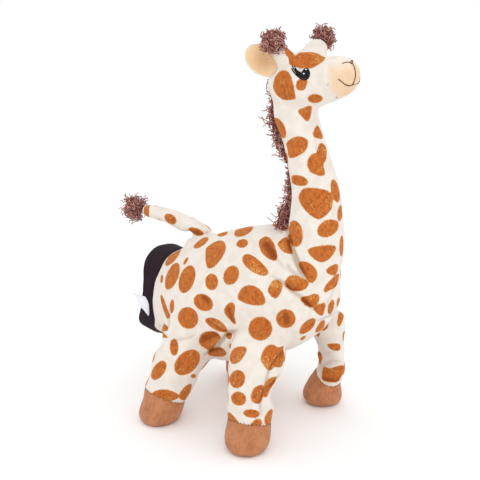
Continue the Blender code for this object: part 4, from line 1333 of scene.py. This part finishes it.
def sewHooves(skin, regions, material):
    normals = skin.normals()
    for end in ("front_left", "front_right", "hind_left", "hind_right"):
        seam = sorted(cornersOf(skin, regions == "hoof_" + end)
                      & cornersOf(skin, regions == "leg_" + end))
        middle = skin.points[seam].mean(axis=0)
        axis = Vector(np.linalg.svd(skin.points[seam] - middle)[2][2])
        wide, tall = tangentFrame(axis)
        offsets = [Vector(skin.points[index]) - Vector(middle) for index in seam]
        turn = [math.atan2(offset.dot(tall), offset.dot(wide)) for offset in offsets]
        ordered = [seam[place] for place in np.argsort(turn)]
        stitches = []
        last = None
        for index in ordered:
            place = Vector(skin.points[index])
            if last is None or (place - last).length > hoofStitch["apart"] * mm:
                out = Vector(normals[index])
                along = (axis - out * axis.dot(out)).normalized() * hoofStitch["length"] / 2 * mm
                lift = out * hoofStitch["lift"] * mm
                stitches.append(([place - along, place + lift * hoofStitch["crown"],
                                  place + along], hoofStitch["radius"]))
                last = place
        obj = meshObject("stitches_hoof_" + end, *strandMesh(stitches))
        dress(obj, material, "leg_" + end, smooth=False)


# Yarn

# One strand of yarn: the turns of its curl, how far it wanders, how flat and steady the curl is,
# how far it bends back and how thin it ends. shade: above 1 makes more of the strands dark
yarnStrand = {"turns": (1.0, 2.2), "drift": 0.55, "flat": 0.6, "swing": (0.8, 0.15),
              "bendBack": 0.68, "tip": 0.6, "shade": 1.6}
# seeds in the order of the left horn, the right horn and the tail; roots and length are shares of
# the tuft's size, and behind says where its seat is and how strands there are turned outwards
yarnTuft = {"strands": 460, "radius": 0.42, "steps": 14, "curl": 1.5, "hornSize": 10.2,
            "tailSize": 12.4, "seeds": (21, 19, 31), "roots": (0.1, 0.75), "length": (0.25, 0.48),
            "astray": 0.5, "behind": (-0.55, 1.4)}
mane = {"strands": 2400, "radius": 0.42, "steps": 13, "length": (4.4, 7.2), "curl": 1.7, "seed": 5,
        "low": 186.0, "high": 316.0, "split": 291.0, "halfWidth": 1.7, "sunk": 0.6,
        "rearmost": 20, "spreads": (0.6, 0.2, 0.6), "leans": (0, 0, -0.35)}
# up the neck: height, length of the yarn, how dense it stands
maneShares = (
    (186, 2.10, 1.00), (192, 2.10, 1.00), (199, 1.65, 1.00), (206, 1.15, 0.75),
    (226, 1.05, 0.50), (236, 0.90, 0.40), (242, 0.45, 0.20), (248, 0.90, 0.55),
    (255, 1.25, 0.95), (270, 1.20, 0.90), (284, 1.00, 0.75), (290, 0.80, 0.45),
    (300, 0.70, 0.35), (316, 0.65, 0.30),
)


def strandMesh(strands, sides=3):
    points = []
    faces = []
    for line, radius in strands:
        start = len(points)
        for index, place in enumerate(line):
            ahead = line[min(index + 1, len(line) - 1)]
            behind = line[max(index - 1, 0)]
            direction = (ahead - behind).normalized()
            wide, tall = tangentFrame(direction)
            taper = radius * (1.0 if index < len(line) - 1 else yarnStrand["tip"])
            for side in range(sides):
                angle = 2 * math.pi * side / sides
                offset = wide * math.cos(angle) + tall * math.sin(angle)
                points.append(place + offset * taper * mm)
        faces += ringFaces(len(line), sides, start)
        faces.append(tuple(start + side for side in reversed(range(sides))))
        faces.append(tuple(start + (len(line) - 1) * sides + side for side in range(sides)))
    return points, faces


def scattered(chance, spreads=(1, 1, 1), middles=(0, 0, 0)):
    return Vector([chance.gauss(middle, spread) for middle, spread in zip(middles, spreads)])


def curlyStrand(chance, root, direction, length, curl, steps):
    # a helix that wanders out of its root and turns back at its end
    wide, tall = tangentFrame(direction)
    phase = chance.uniform(0, 2 * math.pi)
    turns = chance.uniform(*yarnStrand["turns"])
    drift = scattered(chance) * yarnStrand["drift"]
    slope, start = yarnStrand["swing"]
    line = []
    for step in range(steps):
        share = step / (steps - 1)
        angle = phase + 2 * math.pi * turns * share
        swing = curl * math.sin(math.pi * min(1.0, share * slope + start)) * mm
        offset = wide * math.cos(angle) * swing
        offset += tall * math.sin(angle) * swing * yarnStrand["flat"]
        bend = drift * length * share * share * mm
        ahead = length * math.sin(yarnStrand["bendBack"] * math.pi * share)
        line.append(root + direction * ahead * mm + bend + offset)
    return line


def tuftStrands(seed, centre, axis, radius):
    chance = random.Random(seed)
    strands = []
    behind, turned = yarnTuft["behind"]
    for _ in range(yarnTuft["strands"]):
        direction = scattered(chance).normalized()
        if direction.dot(axis) < behind:
            direction = (direction - axis * turned * direction.dot(axis)).normalized()
        root = centre + direction * radius * chance.uniform(*yarnTuft["roots"]) * mm
        direction = (direction + scattered(chance) * yarnTuft["astray"]).normalized()
        length = radius * chance.uniform(*yarnTuft["length"])
        line = curlyStrand(chance, root, direction, length, yarnTuft["curl"], yarnTuft["steps"])
        strands.append((line, yarnTuft["radius"]))
    return strands


def yarnPiece(name, strands, body, replaced, material):
    obj = meshObject(name, *strandMesh(strands))
    chance = random.Random(len(strands))
    shades = [chance.random() ** yarnStrand["shade"] for _ in strands]
    setField(obj, "tone", np.repeat(shades, [3 * len(line) for line, _ in strands]))
    dress(obj, material, body, replaced)


def makeTufts(material):
    tufts = (("left", "horn_tuft_left", "head", hornAxis(1, "left")[1], yarnTuft["hornSize"]),
             ("right", "horn_tuft_right", "head", hornAxis(-1, "right")[1], yarnTuft["hornSize"]),
             ("tail", "tail_tuft", "tail", Vector((0, 1, 0)), yarnTuft["tailSize"]))
    for seed, (ending, node, body, axis, size) in zip(yarnTuft["seeds"], tufts):
        low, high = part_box(node)
        strands = tuftStrands(seed, (Vector(low) + Vector(high)) / 2, axis, size)
        yarnPiece(f"yarn_tuft_{ending}", strands, body, [node], material)


def backOfNeck(tree, z):
    # the rearmost point of the skin in the middle plane at this height
    return tree.ray_cast(Vector((0, 0.4, z)), Vector((0, -1, 0)))[:2]


def makeMane(tree, material):
    chance = random.Random(mane["seed"])
    groups = {"neck": [], "head": []}
    heights, lengths, densities = zip(*maneShares)
    for _ in range(mane["strands"]):
        z = chance.uniform(mane["low"], mane["high"])
        dropped = chance.random() > np.interp(z, heights, densities)
        root, normal = backOfNeck(tree, z * mm)
        if dropped or root is None or root.y > mane["rearmost"] * mm:
            continue
        root = root + across * chance.gauss(0, mane["halfWidth"]) * mm
        length = chance.uniform(*mane["length"]) * np.interp(z, heights, lengths)
        astray = scattered(chance, mane["spreads"], mane["leans"])
        line = curlyStrand(chance, root - normal * mane["sunk"] * mm,
                           (normal + astray).normalized(), length, mane["curl"], mane["steps"])
        groups["head" if z > mane["split"] else "neck"].append((line, mane["radius"]))
    yarnPiece("yarn_mane_neck", groups["neck"], "neck", ["neck_mane"], material)
    yarnPiece("yarn_mane_head", groups["head"], "head", ["head_mane"], material)


# Ears

# cup: depth of the hollow in front; sunk: how far its velour lies back; bend: how far the sides
# curl forward; bowl: gain, power and reach of the painted shade down in the hollow
ear = {"length": 27.5, "width": 22.5, "thickness": 5.0, "cup": 2.6, "rim": 0.8, "sunk": 0.4,
       "bend": 1.6, "bowl": (1.1, 1.5, 1.15), "seatShares": (0.83, 0.16, 0.53),
       "facingShares": (0.69, -0.72, 0.0)}
earReachShares = {"left": (0.76, 0.60, 0.22), "right": (0.47, 0.38, 0.80)}
# along the length, width, thickness
earShares = (
    (-0.07, 0.48, 0.50), (0.02, 0.62, 0.82), (0.26, 0.94, 1.00), (0.58, 1.06, 1.00),
    (0.86, 0.74, 0.86), (1.00, 0.26, 0.40),
)


def makeEar(side, sideName, plush, velour):
    reach = mirrored(earReachShares[sideName], side)
    facing = mirrored(ear["facingShares"], side)
    facing = (facing - reach * facing.dot(reach)).normalized()
    sideways = reach.cross(facing)
    seat = mirrored(ear["seatShares"], side) * (head["skull"] + ear["thickness"] / 2)
    rings = []
    for along, width, thick in earShares:
        centre = headCentre + headSpin @ (seat + reach * along * ear["length"])
        rings.append(Ring(centre, headSpin @ reach, width * ear["width"] / 2,
                          thick * ear["thickness"] / 2, headSpin @ sideways))
    points, faces = stuffedForm(rings, 6, 40)
    front = headSpin @ facing
    origin = headCentre + headSpin @ seat
    long = headSpin @ reach
    wide = headSpin @ sideways
    shaped = []
    bowlShades = []
    gain, power, bowlReach = ear["bowl"]
    for point in points:
        local = point / mm - origin
        along = local.dot(long) / ear["length"]
        out = local.dot(wide) / (ear["width"] / 2)
        depth = local.dot(front)
        bowl = max(0.0, 1 - out * out) * max(0.0, math.sin(math.pi * min(max(along, 0.0), 1.0)))
        if depth > 0:
            depth -= ear["cup"] * bowl + ear["sunk"]
        depth += ear["bend"] * out * out
        # painted shade down in the hollow, growing towards the seat
        bowlShades.append(min(1.0, max(0.0, gain * bowl ** power * (bowlReach - along))))
        shaped.append((origin + long * local.dot(long) + wide * local.dot(wide)
                       + front * depth) * mm)
    backFaces = []
    frontFaces = []
    for face in faces:
        middle = sum((points[corner] for corner in face), Vector()) / len(face)
        local = middle / mm - origin
        edge = abs(local.dot(wide)) / (ear["width"] / 2)
        if local.dot(front) > ear["rim"] * (0.5 + edge):
            frontFaces.append(face)
        else:
            backFaces.append(face)
    for name, chosen, material, node, slot in (
            (f"plush_ear_{sideName}", backFaces, plush, f"ear_{sideName}", "spotted_plush"),
            (f"velour_ear_{sideName}", frontFaces, velour, f"ear_lining_{sideName}", "ear_cloth")):
        used, faces = compacted(chosen)
        obj = meshObject(name, [shaped[index] for index in used], faces)
        setField(obj, "spot", [unprinted] * len(used))
        setField(obj, "tone", [bowlShades[index] for index in used])
        dress(obj, material, f"ear_{sideName}", [node])


# Embroidery: shapes given as pixels of the photograph, laid on the face

def layOnFace(tree, x, y, lift):
    direction = pixelRay(x, y)
    hit = tree.ray_cast(cameraPlace, direction)
    if hit[0] is None:
        reach = (headCentre * mm - cameraPlace).dot(direction)
        hit = tree.find_nearest(cameraPlace + direction * reach)
    return hit[0] + hit[1] * lift * mm


def bothSides(points):
    flipped = []
    for point in points:
        local = toHead(point)
        flipped.append(fromHead(Vector((-local.x, local.y, local.z))))
    return {"right": list(points), "left": flipped}


def patchMesh(tree, outline, lift, rings=5, crown=0.0):
    # a filled patch, a little raised in its middle
    outline = roundOutline(outline)
    middleX = sum(x for x, y in outline) / len(outline)
    middleY = sum(y for x, y in outline) / len(outline)
    points = [layOnFace(tree, middleX, middleY, lift + crown)]
    for ring in range(1, rings + 1):
        share = ring / rings
        rise = embroidery["rim"]
        if ring < rings:
            rise = lift + crown * math.sqrt(max(0.0, 1 - share ** 2))
        for x, y in outline:
            points.append(layOnFace(tree, middleX + share * (x - middleX),
                                    middleY + share * (y - middleY), rise))
    count = len(outline)
    faces = [(0, 1 + (step + 1) % count, 1 + step) for step in range(count)]
    return points, faces + ringFaces(rings, count, 1)


def threadLine(tree, pixels, lift):
    points = []
    for (x0, y0), (x1, y1) in zip(pixels, pixels[1:]):
        steps = max(1, int(math.hypot(x1 - x0, y1 - y0) / embroidery["spacing"]))
        for step in range(steps):
            share = step / steps
            points.append(layOnFace(tree, x0 + share * (x1 - x0), y0 + share * (y1 - y0),
                                    lift))
    points.append(layOnFace(tree, *pixels[-1], lift))
    return points


eyePatches = (
    ("eye_white", 0.2, 0.1, "greyThread",
     ((297, 69.4), (300, 68.8), (303.3, 69.2), (302.6, 71.9), (300.7, 73.3), (298.2, 73.2))),
    ("eye_black", 0.35, 0.4, "blackThread",
     ((294.6, 68.6), (295.6, 72.1), (297.1, 75.9), (300, 79), (302.9, 80.4), (307.1, 79.8),
      (309.5, 77.1), (310.2, 72.9), (308.8, 69.3), (305.9, 67.8), (303.7, 69.2), (302.2, 71.8),
      (300.4, 73.0), (298.2, 72.6), (296.6, 70.2))),
    ("eye_brown", 0.72, 0.1, "brownThread",
     ((300.8, 77.2), (303.8, 78.5), (307.4, 77.2), (306.8, 78.7), (304.2, 79.7), (301.4, 78.9))),
    ("eye_glint", 0.9, 0.2, "whiteThread",
     ((303.6, 73.3), (304.8, 73.0), (305.2, 74.2), (304.3, 74.8), (303.4, 74.4))),
    ("eye_spark", 0.85, 0.15, "whiteThread",
     ((305.5, 69.5), (306.7, 69.1), (307.4, 69.8), (306.6, 70.5), (305.5, 70.3))),
)
# thread lines of the eye, each with the radius of the thread in millimetres
lashes = (
    (0.5, ((291.6, 68.4), (293.2, 71.2), (295.6, 74.3), (298.2, 76.8))),
    (0.45, ((292, 65.8), (293.6, 68.4), (295.2, 71), (297, 74))),
    (0.4, ((294.3, 65.6), (295.6, 68.2), (297, 70.6), (298.4, 72.8))),
)
# the mouth and the nostril of the near side, repeated on the far side
smile = (
    (0.42, ((351.8, 85.0), (349.3, 85.8), (345.3, 84.7), (341.2, 81.3), (338, 78.8))),
    (0.36, ((351.4, 63.8), (349, 62.2), (345.3, 62.4), (342, 63.6))),
    (0.36, ((336.4, 97.4), (337.6, 96.8))),
    (0.30, ((327.6, 84.9), (328.6, 84.5))),
)
# the line from the nose down to the mouth
noseLine = (0.42, ((352.4, 60.6), (352.2, 63), (353.6, 66), (354.8, 69.5), (355.4, 73),
                   (355.2, 77), (354.2, 81), (352.8, 84), (351.8, 85)))
# how far a thread stands out, in its own radius, its sides, and the pixels from point to point;
# rim is how far the edge of a patch stands out in millimetres
embroidery = {"lift": 0.4, "sides": 6, "spacing": 0.7, "rim": 0.05}


def makeEyes(tree, materials):
    for name, lift, crown, thread, outline in eyePatches:
        points, faces = patchMesh(tree, outline, lift, crown=crown)
        for sideName, placed in bothSides(points).items():
            shown = faces if sideName == "right" else [tuple(reversed(face)) for face in faces]
            obj = meshObject(f"{name}_{sideName}", placed, shown)
            dress(obj, materials[thread], "head",
                  [f"eye_{sideName}"] if name == "eye_black" else ())
    for kind, lines, material in (("lashes", lashes, materials["blackThread"]),
                                  ("smile", smile, materials["smileThread"])):
        threads = [(threadLine(tree, line, radius * embroidery["lift"]), radius)
                   for radius, line in lines]
        for sideName in ("right", "left"):
            placed = [(bothSides(line)[sideName], radius) for line, radius in threads]
            if kind == "smile" and sideName == "left":
                for index, end in ((0, noseLine[1][-1]), (1, noseLine[1][1])):
                    placed[index][0].insert(
                        0, layOnFace(tree, *end, placed[index][1] * embroidery["lift"]))
            threadPiece(f"{kind}_{sideName}", placed, material)
    radius, line = noseLine
    middle = threadLine(tree, line, radius * embroidery["lift"])
    threadPiece("smile_middle", [(middle, radius)], materials["smileThread"])


def threadPiece(name, strands, material):
    dress(meshObject(name, *strandMesh(strands, embroidery["sides"])), material, "head")


# Black sleeve and its bare label

# waves: how many run round the sleeve, where they start, and over what length they grow; probe:
# length and height of the point that a line of sight aims at where it misses the sleeve
sleeve = {"wall": 1.3, "sides": 120, "levels": 14, "wave": 0.5, "waves": (5, 0.8, 14),
          "inside": 14.0, "square": 2.4, "longest": 45.0, "middle": 102.5, "probe": (15, 103),
          "flat": (0.262, 0.037), "flatArea": 0.0076}
# along the length from the hem, half width, half height, middle height
sleeveRows = (
    (-14.0, 33.5, 40.0, 102.0), (0.0, 34.6, 41.0, 101.0), (6.0, 36.0, 42.6, 101.8),
    (14.0, 37.4, 43.8, 102.4), (24.0, 38.4, 44.2, 102.8), (45.0, 39.0, 44.6, 103.0),
)
# the rim of the sleeve in pixels of the photograph, from its top round to its bottom
sleeveRim = ((163, 244.2), (158.8, 244.8), (154.5, 247.2), (151.3, 250), (148, 254), (145, 258.8),
             (143.5, 265), (143.3, 278.8), (142.5, 291.3), (141, 302), (140, 310), (138.1, 318.8),
             (140, 323.8), (145, 326.9), (150, 328.8))
# how far the rim stands out where the photograph doesn't show it: turn in degrees, length
hiddenRim = ((-70, 12.0), (-30, 14.0), (0, 15.0), (40, 16.0), (75, 18.0))


def sleevePoint(angle, along, hemY):
    rows = np.array(sleeveRows)
    halfX, halfV, middle = (np.interp(along, rows[:, 0], rows[:, column]) for column in (1, 2, 3))
    power = sleeve["square"]
    waves, start, growth = sleeve["waves"]
    reach = (abs(math.cos(angle) / halfX) ** power
             + abs(math.sin(angle) / halfV) ** power) ** (-1 / power)
    reach += sleeve["wave"] * max(0.0, along) / growth * math.sin(waves * angle + start)
    return Vector((reach * math.cos(angle), hemY + along, middle + reach * math.sin(angle)))


def tubeMesh(sides, levels, place):
    # a tube of rings, each point given by its turn and its level from 0 to 1
    points = [place(2 * math.pi * step / sides, level / levels) * mm
              for level in range(levels + 1) for step in range(sides)]
    return points, [(b, a, d, c) for a, b, c, d in ringFaces(levels + 1, sides)]


def rimLengths(hemY):
    longest, (probeY, probeZ) = sleeve["longest"], sleeve["probe"]
    tube = tubeMesh(96, 20, lambda angle, level: sleevePoint(angle, level * longest, hemY))
    tree = BVHTree.FromPolygons(*tube)
    found = [(math.radians(turn), length) for turn, length in hiddenRim]
    for x, y in sleeveRim:
        direction = pixelRay(x, y)
        place = tree.ray_cast(cameraPlace, direction)[0]
        if place is None:
            reach = (Vector((0, hemY + probeY, probeZ)) * mm - cameraPlace).dot(direction)
            place = tree.find_nearest(cameraPlace + direction * reach)[0]
        angle = math.atan2(place.z / mm - sleeve["middle"], place.x / mm) % (2 * math.pi)
        found.append((angle, place.y / mm - hemY))
    return sorted(found)


def makeSleeve(material):
    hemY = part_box("torso_skin")[1][1] / mm
    angles, lengths = zip(*rimLengths(hemY))
    fine = np.linspace(0, 2 * math.pi, 180, endpoint=False)
    rim = np.interp(fine, angles, lengths, period=2 * math.pi)
    for _ in range(3):
        rim = (np.roll(rim, 1) + 2 * rim + np.roll(rim, -1)) / 4

    def place(angle, level):
        longest = np.interp(angle, fine, rim, period=2 * math.pi)
        return sleevePoint(angle, -sleeve["inside"] + (longest + sleeve["inside"]) * level, hemY)

    tube = tubeMesh(sleeve["sides"], sleeve["levels"], place)
    obj = thickened(meshObject("black_sleeve", *tube), sleeve["wall"])
    dress(obj, material, "torso", ["sleeve_cuff"])
    return obj


def thickened(obj, wall):
    solid = obj.modifiers.new("cloth", "SOLIDIFY")
    solid.thickness = wall * mm
    solid.offset = -1
    soften = obj.modifiers.new("soften", "SUBSURF")
    soften.levels = 1
    soften.render_levels = 1
    name = obj.name
    return linked(name, appliedMesh(obj))


# The label is a loop of ribbon: the edge that is sewn to the sleeve, and its fold, from below
# upwards. stand: how far it lies off the sleeve's plane; gap and puff: how far its two layers part
label = {"wall": 0.3, "gap": 0.5, "puff": 1.1, "facing": (-0.86, -0.42, 0.28), "stand": 1.2,
         "rows": 12, "turns": 24, "flat": (0.0178, 0.018)}
labelSewn = ((149.0, 316.2), (149.6, 311), (149.4, 305.5), (148.4, 300.5), (145.8, 296.4))
labelFold = ((145.2, 310.2), (141.3, 307.3), (138.6, 301.8), (136, 297), (133.2, 292.6))


def makeLabel(sleevePiece, material):
    tree = BVHTree.FromPolygons([vertex.co for vertex in sleevePiece.data.vertices],
                                [tuple(face.vertices) for face in sleevePiece.data.polygons])
    seat = tree.ray_cast(cameraPlace, pixelRay(*labelSewn[2]))[0]
    facing = Vector(label["facing"]).normalized()

    def lay(x, y, rise):
        direction = pixelRay(x, y)
        reach = (seat - cameraPlace).dot(facing) / direction.dot(facing)
        return cameraPlace + direction * reach + facing * (label["stand"] + rise) * mm

    points = []
    rows = label["rows"]
    turns = label["turns"]
    for row in range(rows + 1):
        share = row / rows
        sewn, fold = ([np.interp(share * (len(line) - 1), range(len(line)), column)
                       for column in zip(*line)] for line in (labelSewn, labelFold))
        for turn in range(turns + 1):
            out = math.sin(math.pi * turn / turns)
            x, y = (start + out * (end - start) for start, end in zip(sewn, fold))
            rise = label["gap"] + label["puff"] * math.sin(math.pi * out)
            rise *= math.cos(math.pi * turn / turns)
            points.append(lay(x, y, rise))
    # the ribbon is open along its sewn edge, where rings of points would close
    faces = [face for face in ringFaces(rows + 1, turns + 1) if face[1] == face[0] + 1]
    obj = thickened(meshObject("white_label", points, faces), label["wall"])
    dress(obj, material, "torso", ["sleeve_label"])


# The bag for the hand, which ends a little before the hem, and the pocket for a finger
handHollow = {"width": 76.0, "height": 60.0, "wall": 1.0, "inset": 1.0, "flat": (0.24, 0.13),
              "pocketFlat": (0.069, 0.088)}
# along the torso, middle height, height and width of the hollow
handShares = (
    (0.055, 0.500, 0.16, 0.28), (0.130, 0.520, 0.46, 0.56), (0.290, 0.570, 0.78, 0.86),
    (0.520, 0.575, 0.98, 1.00), (0.730, 0.560, 0.96, 0.94), (0.860, 0.475, 1.00, 0.84),
    (1.000, 0.385, 1.26, 0.82), (1.060, 0.385, 1.28, 0.82),
)


def makeLining(material):
    # a black cloth bag, open at the rear, that the hand goes into
    rings = []
    for along, middle, height, width in handShares:
        centre = Vector((0, torso.front + along * torso.length,
                         torso.belly + middle * torso.height))
        rings.append(Ring(centre, Vector((0, 1, 0)), width * handHollow["width"] / 2,
                          height * handHollow["height"] / 2, across))
    points, faces = stuffedForm(rings, 5, 48)
    mouth = seams["hem"] - handHollow["inset"]
    chosen = [tuple(reversed(face)) for face in faces
              if all(points[corner].y < mouth * mm for corner in face)]
    used, faces = compacted(chosen)
    obj = thickened(meshObject("black_hand_lining", [points[index] for index in used], faces),
                    handHollow["wall"])
    dress(obj, material, "torso", ["hand_lining"])

    low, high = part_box("finger_lining")
    middle = (Vector(low) + Vector(high)) / 2
    bpy.ops.object.select_all(action="DESELECT")
    bpy.ops.mesh.primitive_cylinder_add(vertices=32, radius=(high[0] - low[0]) / 2,
                                        depth=high[2] - low[2], location=middle)
    pocket = bpy.context.object
    pocket.name = "black_finger_lining"
    bpy.ops.object.mode_set(mode="EDIT")
    bpy.ops.mesh.select_all(action="DESELECT")
    bpy.ops.object.mode_set(mode="OBJECT")
    for face in pocket.data.polygons:
        face.select = face.normal.z < -0.9
    bpy.ops.object.mode_set(mode="EDIT")
    bpy.ops.mesh.select_mode(type="FACE")
    bpy.ops.mesh.inset(thickness=handHollow["wall"] * mm)
    bpy.ops.mesh.extrude_region_move(
        TRANSFORM_OT_translate={"value": (0, 0, high[2] - low[2] - handHollow["wall"] * mm)})
    bpy.ops.object.mode_set(mode="OBJECT")
    bpy.ops.object.transform_apply(location=True, rotation=True, scale=True)
    dress(pocket, material, "neck", ["finger_lining"], smooth=False)


# Stage

# lights: name, place, size and power
studio = {"floorSize": 6, "floorRoughness": 0.9, "white": (1.0, 1.0, 1.0, 1.0), "world": 1.0,
          "aim": (0, 0, 0.17),
          "lights": (("keyLight", (-0.85, -0.75, 1.15), 0.7, 3.9),
                     ("fillLight", (0.9, -0.9, 0.7), 1.0, 0.4),
                     ("backLight", (0.3, 1.0, 0.9), 0.9, 0.5))}


def makeStage():
    bpy.ops.mesh.primitive_plane_add(size=studio["floorSize"], location=(0, 0, 0))
    floor = bpy.context.object
    floor.name = "studioFloor"
    material, _, shader = newMaterial("studioFloor", studio["floorRoughness"])
    shader.inputs["Base Color"].default_value = studio["white"]
    floor.data.materials.append(material)
    world = bpy.data.worlds.new("studioWorld")
    world.use_nodes = True
    background = world.node_tree.nodes["Background"]
    background.inputs[0].default_value = studio["white"]
    background.inputs[1].default_value = studio["world"]
    bpy.context.scene.world = world
    for name, place, size, power in studio["lights"]:
        data = bpy.data.lights.new(name, "AREA")
        data.size = size
        data.energy = power
        lamp = linked(name, data)
        lamp.location = place
        aim = Vector(studio["aim"]) - Vector(place)
        lamp.rotation_euler = aim.to_track_quat("-Z", "Y").to_euler()
    bpy.context.scene.view_settings.view_transform = "Standard"


cameraPlace, cameraRight, cameraUp, cameraBack = makeCamera()
headSpin = headTurn()
headCentre = Vector(head["centre"])
makeStage()
forms = makeForms()
cuts = makeCuts()
skin = unite(forms)
stageDone(f"united skin has {len(skin.points)} points")

skin.relax(np.full(len(skin.points), surface["evenWeight"]), surface["evenRounds"])
softenJoins(skin, formDistances(skin.points, forms))
puff(skin)
skin = cutPlanes(skin, cuts)
distances = formDistances(skin.points, forms)
regions = faceRegions(skin, distances, cuts)
evenBorders(skin, regions)
pinchSeams(skin, cuts)
nudgeSkin(skin)
creaseDepth = pressCreases(skin)
skin.points[:, 2] = np.maximum(skin.points[:, 2], surface["floorHeight"] * mm)
stageDone("joins softened and creases pressed")

names = list(distances)
values = np.array([distances[name] for name in names])
owner = np.argmin(values, axis=0)
spots = spotField(skin, owner, names)
stageDone("spots printed")

materials = {name: clothMaterial(name) for name in clothLooks}
materials["plush"] = plushMaterial()
# the crease depth shapes the skin and also paints shade into its creases
fields = {"spot": np.clip(spots, -spotDepth, spotDepth), "crease": creaseDepth,
          "paintedLight": paintLightStrokes(skin), "tone": muzzleTone(skin)}
makeSkinPieces(skin, regions, cuts, forms, fields, materials)
stageDone("skin cut into its pieces")

skinTree = skin.tree()
sewHooves(skin, regions, materials["brownThread"])
makeTufts(materials["brownYarn"])
makeMane(skinTree, materials["brownYarn"])
for side, sideName in ((1, "left"), (-1, "right")):
    makeEar(side, sideName, materials["plush"], materials["earVelour"])
makeEyes(skinTree, materials)
sleevePiece = makeSleeve(materials["blackJersey"])
makeLabel(sleevePiece, materials["labelRibbon"])
makeLining(materials["blackJersey"])
stageDone("yarn, ears, eyes and sleeve made")
